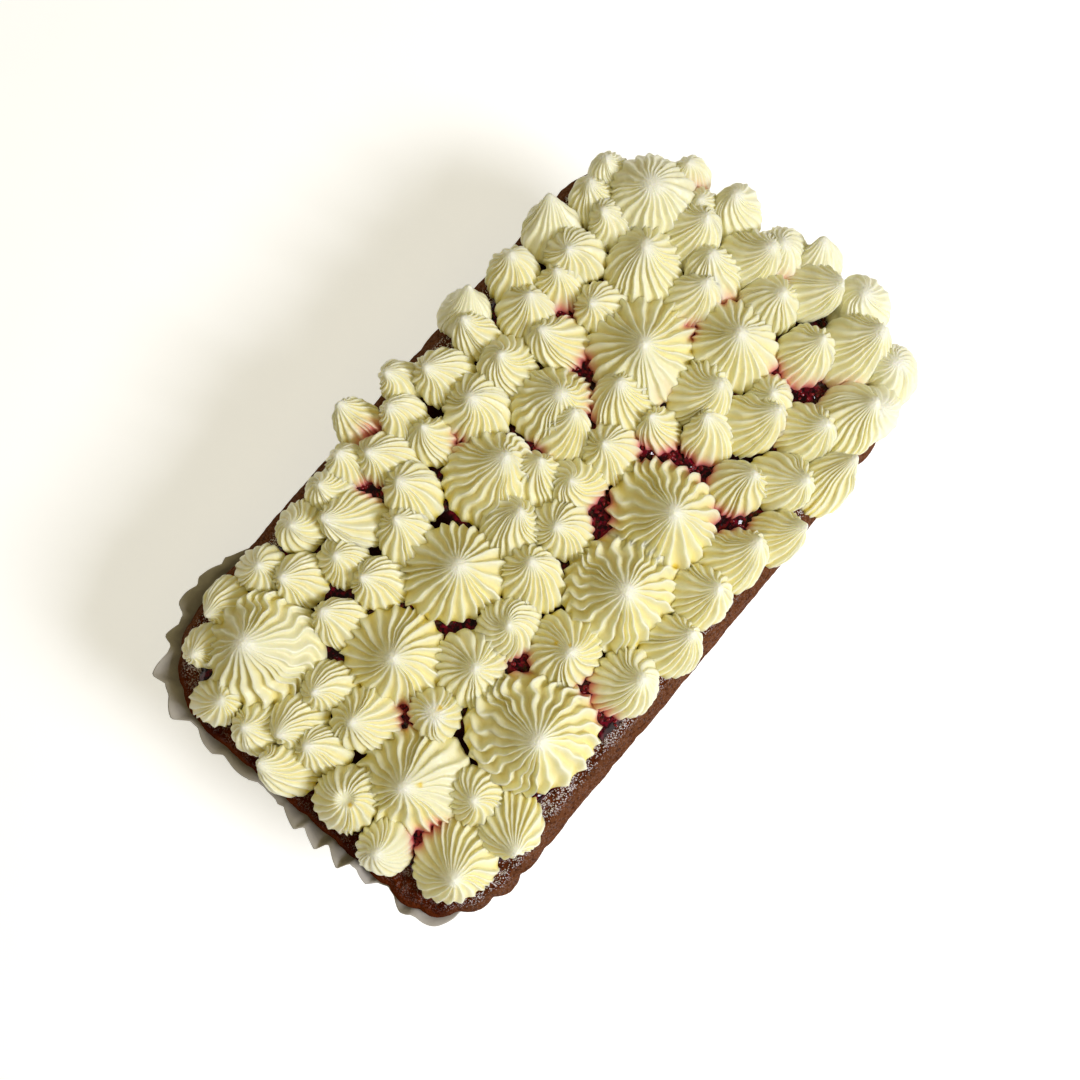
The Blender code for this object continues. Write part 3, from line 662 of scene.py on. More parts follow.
def kiss_tree(finish, ground):
    graph = ShapeGraph("piped_kisses", {"Ridges": 22, "Rings": 30, "Groove": 0.5})
    ridges = graph.size("Ridges")
    points = graph.geometry
    rings = graph.size("Rings")
    sides = {"Vertices": ridges * PER_RIDGE, "Side Segments": rings, "Radius": 1.0, "Depth": 1.0}
    tube = graph.node("GeometryNodeMeshCylinder", {"fill_type": "TRIANGLE_FAN"}, sides)
    graph.geometry = tube.outputs["Mesh"]
    x, y, z = graph.parts(graph.position())
    graph.store("turn", graph.maths("ARCTAN2", y, x))
    graph.store("climb", (z + 0.5 - UNDER) / (1.0 - UNDER))
    graph.store("ring", graph.maths("GREATER_THAN", x * x + y * y, 0.5))
    graph.through("GeometryNodeSetPosition", sockets={"Position": graph.vector(0.0, 0.0, 0.0)})
    graph.scatter(points, graph.geometry)
    graph.through("GeometryNodeRealizeInstances")

    turn = graph.attribute("turn")
    climb = graph.attribute("climb")
    ring = graph.attribute("ring")
    radius = graph.attribute("kiss_radius")
    height = graph.attribute("kiss_height")
    trait = {name: graph.attribute(name) for name in TRAITS}
    seed, wave, peak, core, waist = (trait[name] for name in ("seed", "wave", "peak", "core", "waist"))
    lean_x, lean_y, _ = graph.parts(graph.attribute("lean", "FLOAT_VECTOR").socket)
    hang_x, hang_y, _ = graph.parts(graph.attribute("hang", "FLOAT_VECTOR").socket)
    above = graph.at_least(0.0, climb)
    under = graph.at_least(0.0, climb * (-(1.0 - UNDER) / UNDER))

    # The mound: how wide it is, and how high, on each ring. Its tip is round and soft.
    slope = above * (math.pi / 2)
    nub = trait["nub"] / radius
    cap = graph.maths("SQRT", graph.at_least(0.0, 1.0 - above ** CAP_POWER))
    body = graph.at_least(0.0, graph.cosine(slope))
    point = graph.maths("EXPONENT", (body / core) ** 1.5 * -1.0)
    dent = graph.maths("EXPONENT", (body / DENT_WIDTH) ** 2.0 * -1.0) * trait["hollow"]
    rise = graph.sine(slope) * (1.0 - peak) + point * peak - dent * DENT_DEPTH
    up = (1.0 - under) * waist + rise * (1.0 - waist)
    wide = (body * (1.0 - nub) + nub * cap) * (1.0 - (waist * 0.7 - 0.10) * under * under)

    # Which way its surface faces: 0 is outwards, a quarter turn is up.
    dome_fall = (1.0 - peak) * body / graph.at_least(0.05, graph.sine(slope))
    point_fall = peak * point * (body / core) ** 0.5 * 1.5 / core
    steep = (dome_fall + point_fall) * (1.0 - waist) * height / radius
    facing = graph.maths("ARCTAN2", 1.0, steep) - under * 0.5

    # The ridges: a crest on every eighth line of points, between rolls and blades in shape.
    phase = turn * ridges
    pitch = TWO_PI / ridges
    which = graph.maths("MODULO", graph.maths("FLOOR", phase / TWO_PI + 0.5) + ridges, ridges)
    strong = 0.88 + graph.sine(which * 2.4 + seed * 5.0) * 0.20
    roll = (0.5 + graph.cosine(phase) * 0.5) ** trait["thin"]
    edge = 1.0 - graph.maths("ABSOLUTE", graph.sine(phase * 0.5)) ** 0.80
    blade = trait["blade"] * (1.0 - above * 0.7)
    crest = roll * (1.0 - blade) + edge * blade
    worn = graph.smooth_step(graph.cosine(turn - trait["worn_at"]), 0.45, 0.85) * trait["worn"]
    fade = graph.smooth_step(above, 0.76, 1.0, 1.0, 0.0) * (1.0 - trait["soft"]) * (1.0 - worn)

    # Pulses in the squeeze swing the ridges to and fro, and lift their crests a little.
    low = 1.0 - above
    pulse = (1.0 - body) * trait["pulses"] * TWO_PI + seed + graph.sine(turn + seed) * 0.5
    lively = 1.0 - graph.smooth_step(graph.cosine(turn - trait["calm_at"]), -0.3, 0.8) * 0.6
    wave = wave * lively
    swing = wave * pitch * graph.sine(pulse) * body * body
    comb = graph.maths("SIGN", trait["twist"]) * 0.16
    curl = pitch * crest * (comb + wave * graph.cosine(pulse) * low * 0.6)
    uneven = pitch * (graph.sine(turn * 3.0 + seed * 1.7) * 0.36 + graph.sine(turn * 5.0 + seed) * 0.20)
    at = turn + swing + curl + uneven + trait["twist"] * (1.0 - body)
    depth = graph.size("Groove") * wide * radius * pitch * fade
    lip = 1.0 + wave * graph.cosine(pulse) * 0.8 * low
    push = depth * (crest * strong * lip - 0.50)

    # Put it together: the mound's outline, its lean, and the ground under its foot.
    bulge = 1.0 + graph.sine(turn * 2.0 + seed * 3.1) * 0.045 + graph.sine(turn * 3.0 + seed) * 0.03
    out = (wide * radius * bulge + push * graph.cosine(facing) * (1.0 - body * 0.62)) * ring
    share = graph.at_least(0.0, up) ** LEAN_POWER
    held = (1.0 - under * 0.6) * (1.0 - up * up)
    hooked = graph.smooth_step(up, 0.72, 1.0) * trait["hook"]
    offset_x = graph.cosine(at) * out + lean_x * (share + hooked) + hang_x * held
    offset_y = graph.sine(at) * out + lean_y * (share + hooked) + hang_y * held
    at_x, at_y, at_z = graph.parts(graph.position())
    source = graph.vector(at_x + offset_x, at_y + offset_y, RAY_FROM)
    loaf = graph.node("GeometryNodeObjectInfo", sockets={"Object": ground}).outputs["Geometry"]
    drop = {"Target Geometry": loaf, "Source Position": source, "Ray Direction": -SKY}
    hit = graph.node("GeometryNodeRaycast", sockets=drop)
    _, _, hit_z = graph.parts(hit.outputs["Hit Position"])
    found = Value(graph, hit.outputs["Is Hit"])
    lowest = at_z - MOST_DROP
    crust_z = graph.at_least(lowest, hit_z * found + lowest * (1.0 - found))
    ground_z = crust_z * (1.0 - share) + at_z * share
    sag = hooked * hooked * radius * 0.5
    offset_z = ground_z - at_z + up * height + push * graph.sine(facing) * ring - sag
    graph.move(graph.vector(offset_x, offset_y, offset_z))

    # Cream is never quite smooth: a slow wobble, and small lumps.
    for scale, amount in WOBBLES:
        _, wobble = graph.noise(graph.position(), scale, 1.0)
        sockets = {0: wobble, 1: (0.5, 0.5, 0.5)}
        centred = graph.node("ShaderNodeVectorMath", {"operation": "SUBTRACT"}, sockets).outputs[0]
        graph.move(graph.scaled(centred, amount))
    graph.store("groove", (1.0 - crest) * fade)
    graph.store("up", up)
    return graph.end(finish)


PIPING = kiss_tree(cream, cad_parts["cake"])
print("nodes in the piping tree:", len(PIPING.nodes))

# %% Where jam shows, and tints the cream
JAM_PX = (
    (600, 505), (603, 520), (645, 447), (668, 456), (688, 464), (704, 474), (718, 518), (736, 521),
    (775, 374), (792, 377), (808, 388), (773, 426), (780, 276), (848, 388), (563, 312), (585, 365),
    (590, 398), (588, 412), (690, 330), (720, 303), (690, 190), (368, 433), (372, 487), (459, 440),
    (535, 458), (522, 660), (590, 690), (606, 711), (415, 838), (434, 825), (408, 712), (655, 385),
)
# Deep gaps between the kisses, where shade falls: the jam there is painted near-black, as painted shade
GAP_SHADE_PX = (
    (606, 486), (735, 460), (745, 458), (565, 610), (437, 413), (478, 373), (506, 395), (512, 418),
    (545, 262), (687, 262), (798, 320), (603, 648), (635, 652), (421, 465), (437, 523), (373, 550),
    (332, 530), (330, 720), (298, 690), (353, 755), (465, 740), (465, 762), (325, 612), (402, 748),
)
JAM_SPOTS = [from_picture(x, y, 1.0 * MM) + MIDDLE.xy for x, y in JAM_PX]
GAP_SHADE_SPOTS = [from_picture(x, y, 0.0) + MIDDLE.xy for x, y in GAP_SHADE_PX]
FLECKS_PX = (
    (675, 567, 3.5), (420, 785, 3.0), (440, 708, 3.0), (570, 645, 2.0), (556, 643, 2.5), (350, 805, 2.5),
)
BLEED = 5.2 * MM                            # how far jam tints the cream round it,
BLEED_UP = 3.0 * MM                         # how far up,
BLEED_GAIN = 1.3                            # and how strongly
MOST_BLEED = 0.85


def near_spots(spots, points, reach):
    """For each point, from 1 at one of the spots to 0 away from all of them."""
    most = np.zeros(len(points))
    for spot in spots:
        away = np.hypot(points[:, 0] - spot.x, points[:, 1] - spot.y) / reach
        most = np.maximum(most, np.exp(-away * away))
    return most


def all_points(mesh):
    flat = np.empty(3 * len(mesh.vertices), dtype=np.float32)
    mesh.vertices.foreach_get("co", flat)
    return flat.reshape(-1, 3)


def tint_feet(piece):
    """Jam creeps up the feet that stand in it."""
    points = all_points(piece.data)
    along = (points[:, 0] - MIDDLE.x) / (LOAF_LENGTH / 2)
    across = (points[:, 1] - MIDDLE.y) / (LOAF_WIDTH / 2)
    jam_top = FEET - DOME_ALONG * along ** 2 - DOME_ACROSS * across ** 2
    level = np.exp(-np.maximum(points[:, 2] - jam_top, 0.0) / BLEED_UP)
    tint = near_spots(JAM_SPOTS, points, BLEED) * level * BLEED_GAIN
    keep_numbers(piece.data, "tint", np.clip(tint, 0.0, MOST_BLEED))


def seen_at(points):
    """Where the camera sees each point, in pixels of the picture."""
    away = points - np.array(eye)
    deep = -away @ np.array(back)
    x = away @ np.array(RIGHT) / deep * FOCAL_PX + axis_px.x
    y = axis_px.y - away @ np.array(back.cross(RIGHT)) / deep * FOCAL_PX
    return x, y


def fleck(piece):
    """Flecks of unmixed butter. Each is read off the picture: x, y and radius in pixels."""
    x, y = seen_at(all_points(piece.data))
    most = np.zeros(len(x))
    for fleck_x, fleck_y, radius in FLECKS_PX:
        away = np.hypot(x - fleck_x, y - fleck_y) / radius
        most = np.maximum(most, np.exp(-away ** 4))
    keep_numbers(piece.data, "fleck", most)


print("jam shows at", len(JAM_SPOTS), "places")

# %% Pipe them, in kinds of one fineness
KINDS = (                                   # name, number of kisses, ridges, rings, groove
    ("largest_kisses", 7, 24, 44, 0.92), ("large_kisses", 8, 24, 40, 0.90),
    ("broad_kisses", 15, 22, 30, 0.84), ("middling_kisses", 18, 20, 28, 0.78),
    ("small_kisses", 26, 19, 24, 0.74), ("smallest_kisses", 27, 18, 24, 0.70),
)
CRUST = BVHTree.FromObject(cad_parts["cake"], bpy.context.evaluated_depsgraph_get())


def crust_height(place):
    """Height of the loaf's top under a place on it."""
    hit, _, _, _ = CRUST.ray_cast(Vector((place.x, place.y, RAY_FROM)) + MIDDLE, -SKY)
    return hit.z if hit else FEET


def pipe(name, kisses, **sizes):
    """One piece from several kisses, which stands for their nodes of the frame."""
    stands = [Vector((k.place.x, k.place.y, crust_height(k.place) + LIFT)) + MIDDLE for k in kisses]
    carrier = mesh_object(name, stands, [])
    mesh = carrier.data
    keep_numbers(mesh, "kiss_radius", [k.radius for k in kisses])
    keep_numbers(mesh, "kiss_height", [k.height for k in kisses])
    for trait in ("lean", "hang"):
        keep_numbers(mesh, trait, [(*getattr(k, trait), 0.0) for k in kisses], "FLOAT_VECTOR")
    for trait in TRAITS:
        keep_numbers(mesh, trait, [getattr(k, trait) for k in kisses])
    piece = grown(carrier, PIPING, **sizes)
    tint_feet(piece)
    fleck(piece)
    nodes = [kiss.node for kiss in kisses if kiss.node]
    hand_over(piece, "piped_cream", *nodes)


by_width = sorted(KISSES, key=lambda kiss: -kiss.width)
for name, number, ridges, rings, groove in KINDS:
    pipe(name, by_width[:number], ridges=ridges, rings=rings, groove=groove)
    by_width = by_width[number:]

# %% [markdown]
# ## The loaf's outline
#
# The tin's rounded rectangle shapes the loaf, the case and the edge of the jam. The case's pleats
# leave lobes in the crust, deep at the corners and ends and faint along the sides. One function
# walks round this outline. The loaf and the case are stacks of rings on it, and the jam fills one.

# %% A walk round the tin
PLEATS = 60
SIDE_PLEAT = 0.5 * MM                       # half the depth along the long sides
CORNER_PLEAT = 1.3 * MM                     # and at the corners and ends
PLEAT_REACH = 55.0 * MM                     # the deep pleats fade out over this length,
DEEP_END = 12.0 * MM                        # from here on
WALL_TAPER = math.radians(8.5)
WALL_TOP = 49.0 * MM
GAP = 0.3 * MM                              # between touching pieces


def walk(steps):
    """Points at even steps round the tin, with their outward directions and pleat numbers."""
    half_x = LOAF_LENGTH / 2 - CORNER_RADIUS
    half_y = LOAF_WIDTH / 2 - CORNER_RADIUS
    quarter = CORNER_RADIUS * math.pi / 2
    stretches = (
        (half_y, (LOAF_LENGTH / 2, 0.0), 0, False),
        (quarter, (half_x, half_y), 0, True),
        (2 * half_x, (half_x, LOAF_WIDTH / 2), 90, False),
        (quarter, (-half_x, half_y), 90, True),
        (2 * half_y, (-LOAF_LENGTH / 2, half_y), 180, False),
        (quarter, (-half_x, -half_y), 180, True),
        (2 * half_x, (-half_x, -LOAF_WIDTH / 2), 270, False),
        (quarter, (half_x, -half_y), 270, True),
        (half_y, (LOAF_LENGTH / 2, -half_y), 360, False),
    )
    whole = sum(stretch[0] for stretch in stretches)
    found = []
    for step in range(steps):
        along = (step + 0.5) / steps
        left = along * whole
        for size, start, degrees, turns in stretches:
            if left <= size:
                break
            left -= size
        facing = math.radians(degrees) + (left / CORNER_RADIUS if turns else 0.0)
        out = Vector((math.cos(facing), math.sin(facing)))
        if turns:
            place = Vector(start) + out * CORNER_RADIUS
        else:
            place = Vector(start) + Vector((-out.y, out.x)) * left
        found.append((place, out, 2 * PLEATS * along - 0.5))
    return found


def lobe(number, roundness=0.8):
    """A pleat's outline, from -1 in its crease to 1 on its back."""
    return 2.0 * abs(math.sin(math.pi * number / 2)) ** roundness - 1.0


def fold(number):
    """A crease of the opened paper, from -1 to 1: it rises slowly, and drops back at once."""
    along = (number / 2 + 0.3 * math.sin(0.41 * number)) % 1.0
    return min(along / 0.78, (1.0 - along) / 0.22) * 2.0 - 1.0


def pleat_depth(place, number):
    """Half the depth of a pleat at a place on the outline. No two are quite alike."""
    from_end = LOAF_LENGTH / 2 - abs(place.x)
    share = max(0.0, 1.0 - max(0.0, from_end - DEEP_END) / PLEAT_REACH)
    uneven = 1.0 + 0.35 * math.sin(0.77 * number + 1.0) + 0.25 * math.sin(0.31 * number)
    return (SIDE_PLEAT + (CORNER_PLEAT - SIDE_PLEAT) * share * share) * uneven


def taper(height):
    return max(0.0, WALL_TOP - height) * math.tan(WALL_TAPER)


def strip(lower, upper):
    """Faces between two closed rings of point numbers."""
    count = len(lower)
    return [(lower[i], lower[(i + 1) % count], upper[(i + 1) % count], upper[i]) for i in range(count)]


class Shell:
    """Points and faces of a piece that is built up from rings."""

    def __init__(self):
        self.points = []
        self.faces = []
        self.last = None

    def ring(self, places):
        start = len(self.points)
        self.points.extend(tuple(Vector(place) + MIDDLE) for place in places)
        numbers = list(range(start, len(self.points)))
        if self.last:
            self.faces += strip(self.last, numbers)
        self.last = numbers

    def close(self, place, reverse=False):
        """Close the last ring with a fan to one point."""
        self.points.append(tuple(Vector(place) + MIDDLE))
        hub = len(self.points) - 1
        count = len(self.last)
        fan = [(self.last[i], self.last[(i + 1) % count], hub) for i in range(count)]
        self.faces += [face[::-1] for face in fan] if reverse else fan


def roughening(name, finish, layers, mask=None):
    """A tree that pushes a surface in and out along its normals, one noise for each layer."""
    graph = ShapeGraph(name, {"Strength": 1.0})
    for scale, depth, detail in layers:
        lump, _ = graph.noise(graph.position(), scale, detail)
        amount = (lump - 0.5) * depth * graph.size("Strength")
        if mask:
            amount = amount * graph.attribute(mask)
        graph.move(graph.scaled(graph.node("GeometryNodeInputNormal").outputs[0], amount))
    return graph.end(finish)


print("pleats round the tin:", PLEATS)

# %% [markdown]
# ## The loaf
#
# A chocolate sponge, baked in its case. Its shoulder was moulded smooth and pale by the tin, and
# inside that the crust is darker, moist and pitted, with sugary specks. The crust has no shine of its
# own: its glints are painted as white specks, and the near end is painted darker as shade. The
# side, shoulder and top are one stack of rings, and a tree roughens the crust.

# %% Crust
LOAF_TOP = 64.0 * MM
BULGE = 1.4 * MM                            # how far the crust swelled out over the tin's rim
BULGE_FADES = (0.030, 0.080)                # and where this fades along the loaf
BULGE_HEIGHT = 54.0 * MM
SHOULDER = 6.5 * MM
ROUND = 1.85                                # 2 would be an ellipse
TOP_PLEATS = (0.30, 0.60)                   # share of the pleats left on top, and more at one corner
TOP_PLEATS_AT = Vector((-0.098, -0.063))    # which is the near right one
TOP_PLEATS_REACH = 20.0 * MM
SWELL_AT = Vector((-0.113, -0.050))         # that corner also swelled out furthest
SWELL_REACH = 13.0 * MM
SWELL = 2.2 * MM
WALL_TUCK = 0.7 * MM                        # the loaf keeps this far from its paper
CASE_FLOOR = 0.9 * MM
STEPS_ROUND = 960
WALL_RINGS = 8
SWELL_RINGS = 5
SHOULDER_RINGS = 19
TOP_RING = 0.7 * MM                         # from one ring of the top to the next,
TOP_RINGS_END = 20.0 * MM                   # as far as the kisses hide it
GRID = 12.0 * MM                            # spacing of the few points that lie under them,
GRID_FROM = 8.0 * MM                        # this far from the last ring
PITTED_FROM = 3.0 * MM                      # where the pitted crust begins, inside the outline
PITTED_ENDS = (-0.106, -0.066)              # nearer than this it begins at the very edge
PITTED_BLEND = 1.8 * MM
END_SHADE_ALONG = (-0.110, -0.100)                 # painted shade darkens and reddens the near end,
END_SHADE_ACROSS = (-0.062, -0.053)                # up to its right corner
LUMPS = ((60.0, 1.3 * MM, 2.0), (380.0, 0.7 * MM, 2.0))   # scale, size and detail of the crust's lumps
PITS = ((200.0, 3.0 * MM, 1.0), (560.0, 3.4 * MM, 1.0))   # and of its pits
BAND = ((0.088, 0.030, 0.012), (0.190, 0.072, 0.031))     # darkest and palest colour of the smooth band
MOIST = ((0.040, 0.006, 0.001), (0.170, 0.044, 0.014))    # of the pitted crust
SHADED_END_COLOURS = ((0.050, 0.005, 0.001), (0.115, 0.020, 0.003))   # and of the painted shade at the near end
# painted shade of the crust's crevices
PAINTED_CREVICE_SHADE = (0.030, 0.007, 0.003)
# white of the specks: partly sugar, partly painted glints of the wet crust
SUGAR_GLINT_WHITE = (0.80, 0.76, 0.78)
CRUST_RELIEF = 0.0008

crust = Finish("chocolate_crust", {"Specular IOR Level": 0.0})
pitted = crust.number("pitted")
damp = crust.number("damp")
patch, _ = crust.noise(crust.place, 90.0, 4.0)
fine, _ = crust.noise(crust.place, 900.0, 3.0)
clump, _ = crust.noise(crust.place, 330.0, 2.0)
inner = crust.smooth_step(pitted + (patch - 0.5) * 0.6, 0.25, 0.75)
colour = crust.blend(inner, crust.blend(patch, *BAND), crust.blend(patch, *MOIST))
# painted shade: near-black crevices, spread by a fine noise
colour = crust.blend(crust.smooth_step(fine, 0.42, 0.75, 0.0, 0.8), colour, PAINTED_CREVICE_SHADE)
# painted shade: the near end turns darker and redder
colour = crust.blend(damp * 0.9, colour, crust.blend(crust.smooth_step(patch, 0.42, 0.62), *SHADED_END_COLOURS))
# Specks that are partly sugar and partly painted glints, since the crust itself has no specular shine
dots = crust.node("ShaderNodeTexVoronoi", sockets={"Vector": crust.place, "Scale": 2100.0})
chosen, _, _ = crust.parts(dots.outputs["Color"])
sugar_and_glints = crust.smooth_step(Value(crust, dots.outputs["Distance"]), 0.38, 0.62, 1.0, 0.0)
sugar_and_glints = sugar_and_glints * crust.smooth_step(chosen * 0.8 + clump * 1.5 + patch * 0.5, 1.33, 1.52)
sugar_and_glints = sugar_and_glints * (pitted * 0.94 + 0.06) * (1.0 - damp * 0.85)
crust.fill({"Base Color": crust.blend(sugar_and_glints * 0.85, colour, SUGAR_GLINT_WHITE), "Roughness": 0.70 - pitted * 0.42})
crust.relief(fine * (0.5 + pitted * 1.2 + damp) + patch * 1.5, CRUST_RELIEF)


def dome(place):
    return LOAF_TOP - fall(place.x, place.y)


def bulge(place):
    """How far the crust stands out over the tin's rim."""
    even = BULGE * float(np.interp(place.x, BULGE_FADES, (1.0, 0.1)))
    return even + SWELL * math.exp(-((place - SWELL_AT).length / SWELL_REACH) ** 2)


def pressed(place, number):
    """How far a pleat moves the outline, outwards on its back and inwards in its crease."""
    return pleat_depth(place, number) * lobe(number)


def pleats_on_top(place):
    """What is left of the pleats where the crust rose out of them."""
    away = (place - TOP_PLEATS_AT).length / TOP_PLEATS_REACH
    return TOP_PLEATS[0] + TOP_PLEATS[1] * math.exp(-away * away)


def top_fill(ring, depth_from_edge, spacing):
    """Points on a staggered grid inside a ring, and the faces that join both."""
    border = [Vector(p[:2]) for p in ring]
    inner = []
    columns = int(LOAF_LENGTH / spacing)
    rows = int(LOAF_WIDTH / spacing)
    for row in range(-rows, rows + 1):
        for column in range(-columns, columns + 1):
            place = Vector((column + 0.5 * (row % 2), row * math.sqrt(0.75))) * spacing
            if inset(*place) > depth_from_edge:
                inner.append(place)
    edges = [(i, (i + 1) % len(border)) for i in range(len(border))]
    found = delaunay_2d_cdt(border + inner, edges, [], 1, 1e-9)   # 1: only what lies inside the border
    order = [origin[0] for origin in found[3]]
    return inner, [tuple(order[i] for i in face) for face in found[2]]


def make_loaf():
    around = walk(STEPS_ROUND)
    shell = Shell()
    insets = []

    def add_ring(ring, inside=0.0):
        shell.ring(ring)
        insets.extend([inside] * STEPS_ROUND)

    for height in np.linspace(CASE_FLOOR, WALL_TOP, WALL_RINGS):
        drawn_in = taper(height) + (WALL_TUCK if height < WALL_TOP else 0.0)
        add_ring([(*(place + out * (pressed(place, n) - drawn_in)), height) for place, out, n in around])
    for share in np.linspace(0.2, 1.0, SWELL_RINGS):
        ease = share * share * (3 - 2 * share)
        height = WALL_TOP + (BULGE_HEIGHT - WALL_TOP) * share
        ring = []
        for place, out, number in around:
            pleat = pressed(place, number) * (1.0 - (1.0 - pleats_on_top(place)) * share)
            ring.append((*(place + out * (bulge(place) * ease + pleat)), height))
        add_ring(ring)
    for quarter in np.linspace(0.0, math.pi / 2, SHOULDER_RINGS)[1:]:
        inwards = 1.0 - math.cos(quarter) ** (2 / ROUND)
        lift = math.sin(quarter) ** (2 / ROUND)
        ring = []
        for place, out, number in around:
            pleat = pressed(place, number) * pleats_on_top(place) * math.cos(quarter)
            at = place + out * (bulge(place) * (1.0 - inwards) - SHOULDER * inwards + pleat)
            ring.append((at.x, at.y, BULGE_HEIGHT + (dome(at) - BULGE_HEIGHT) * lift))
        add_ring(ring, max(0.0, SHOULDER * inwards - BULGE * (1.0 - inwards)))
    for deep in np.arange(SHOULDER + TOP_RING, TOP_RINGS_END, TOP_RING):
        ring = [(at.x, at.y, dome(at)) for at in (place - out * deep for place, out, _ in around)]
        add_ring(ring, deep)
    inner, faces = top_fill(ring, deep + GRID_FROM, GRID)
    start = shell.last[0]
    shell.points.extend(tuple(Vector((p.x, p.y, dome(p))) + MIDDLE) for p in inner)
    shell.faces += [tuple(start + i for i in face) for face in faces]
    shell.last = list(range(STEPS_ROUND))
    shell.close((0.0, 0.0, CASE_FLOOR), reverse=True)
    insets += [2 * deep] * len(inner) + [0.0]

    loaf = mesh_object("chocolate_loaf", shell.points, shell.faces)
    along, across = (all_points(loaf.data) - np.array(MIDDLE))[:, :2].T
    starts = PITTED_FROM * np.interp(along, PITTED_ENDS, (0.05, 1.0))
    keep_numbers(loaf.data, "pitted", np.clip((np.array(insets) - starts) / PITTED_BLEND, 0.0, 1.0))
    # how much painted shade the near end gets
    damp = np.interp(along, END_SHADE_ALONG, (1.0, 0.0)) * np.interp(across, END_SHADE_ACROSS, (0.0, 1.0))
    keep_numbers(loaf.data, "damp", damp)
    grown(loaf, roughening("lumpy_crust", crust, LUMPS))
    return grown(loaf, roughening("pitted_crust", crust, PITS, "pitted"))


hand_over(make_loaf(), "chocolate_sponge", "cake")

# %% [markdown]
# ## Jam
#
# Raspberry jam lies under the cream and shows between the kisses, deep red and wet. In the deepest
# gaps and on its rim it is painted near-black, as painted shade. It is a thin lumpy sheet, and its
# pips are scattered by a Geometry Nodes tree.

# %% Jam
JAM_INSET = 8.5 * MM
JAM_WAVE = 1.8 * MM                         # how far its edge wanders
JAM_EDGE_STEPS = 420
JAM_GRID = 1.0 * MM
JAM_THICKNESS = 1.5 * MM
JAM_SWELL = 2.2 * MM                        # how high it swells between the kisses
JAM_SWELLS = 4.5 * MM                       # and how far round each such spot
JAM_LUMPS = ((150.0, 1.6 * MM, 1.0), (430.0, 2.0 * MM, 1.0))
JAM_RELIEF = 0.0012
PULP = ((0.011, 0.0002, 0.001), (0.190, 0.0010, 0.014))
# the jam in painted shade
JAM_IN_PAINTED_SHADE = (0.009, 0.001, 0.001)
# how much painted shade its rim and underside get
RIM_SHADE = 0.35
DIM = 0.02                                  # specular level of what only its coat makes shine

wet_jam = Finish("raspberry_jam", {"Specular IOR Level": DIM, "Coat Roughness": 0.05, "Coat IOR": 1.45})
dark = wet_jam.number("dark")
pulp, _ = wet_jam.noise(wet_jam.place, 600.0, 3.0)
beads, _ = wet_jam.noise(wet_jam.place, 1500.0)
colour = wet_jam.blend(wet_jam.smooth_step(pulp, 0.42, 0.72), *PULP)
# painted shade in the deep gaps: near-black, rougher and without coat
wet_jam.fill({
    "Base Color": wet_jam.blend(dark, colour, JAM_IN_PAINTED_SHADE), "Coat Weight": 0.9 - dark * 0.9,
    "Roughness": dark * 0.4 + 0.1,
})
wet_jam.relief(pulp + beads * 0.4, JAM_RELIEF)


def make_jam():
    edge = []
    for place, out, number in walk(JAM_EDGE_STEPS):
        wave = math.sin(0.83 * 0.7 * number) + 0.6 * math.sin(2.1 * 0.7 * number + 1.0)
        edge.append(place - out * (JAM_INSET + JAM_WAVE * wave / 1.6))
    inner, faces = top_fill(edge, JAM_INSET + JAM_WAVE + 0.5 * JAM_GRID, JAM_GRID)
    places = edge + inner
    count = len(places)
    bottom = [(place.x, place.y, dome(place) + GAP) for place in places]
    thick = [0.5 * JAM_THICKNESS] * len(edge) + [JAM_THICKNESS] * len(inner)
    top = [(x, y, z + more) for (x, y, z), more in zip(bottom, thick)]
    under = [tuple(count + i for i in reversed(face)) for face in faces]
    rim = [(i, count + i, count + (i + 1) % len(edge), (i + 1) % len(edge)) for i in range(len(edge))]
    points = np.array(top + bottom) + np.array(MIDDLE)
    swelling = near_spots(JAM_SPOTS, points, JAM_SWELLS)
    points[:count, 2] += JAM_SWELL * swelling[:count]
    jam = mesh_object("raspberry_jam_sheet", points, faces + under + rim)
    # painted shade round the deep gaps, and some on the rim and underside
    dark = near_spots(GAP_SHADE_SPOTS, points, JAM_SWELLS) * (1.0 - 0.8 * swelling)
    dark[:len(edge)] = dark[count:] = RIM_SHADE
    keep_numbers(jam.data, "dark", np.clip(dark * 1.5, 0.0, 1.0))
    keep_numbers(jam.data, "shown", swelling * (np.arange(len(points)) < count))
    return grown(jam, roughening("jam_pulp", wet_jam, JAM_LUMPS))


jam = make_jam()

# %% Pips, where the jam shows
PIP = 0.8 * MM                              # half a pip's length
PIP_SHAPE = (1.0, 0.62, 0.50)
PIPS_PER_M2 = 330000.0
MOST_TIP = 0.5                              # radians that a pip lies out of level, at most
PIP_RED = ((0.080, 0.001, 0.004), (0.260, 0.010, 0.016))

pip_finish = Finish("raspberry_pip", {
    "Roughness": 0.25, "Specular IOR Level": DIM, "Coat Weight": 0.9, "Coat Roughness": 0.05,
})
kernel, _ = pip_finish.noise(pip_finish.place, 900.0)
pip_finish.fill({"Base Color": pip_finish.blend(kernel, *PIP_RED)})


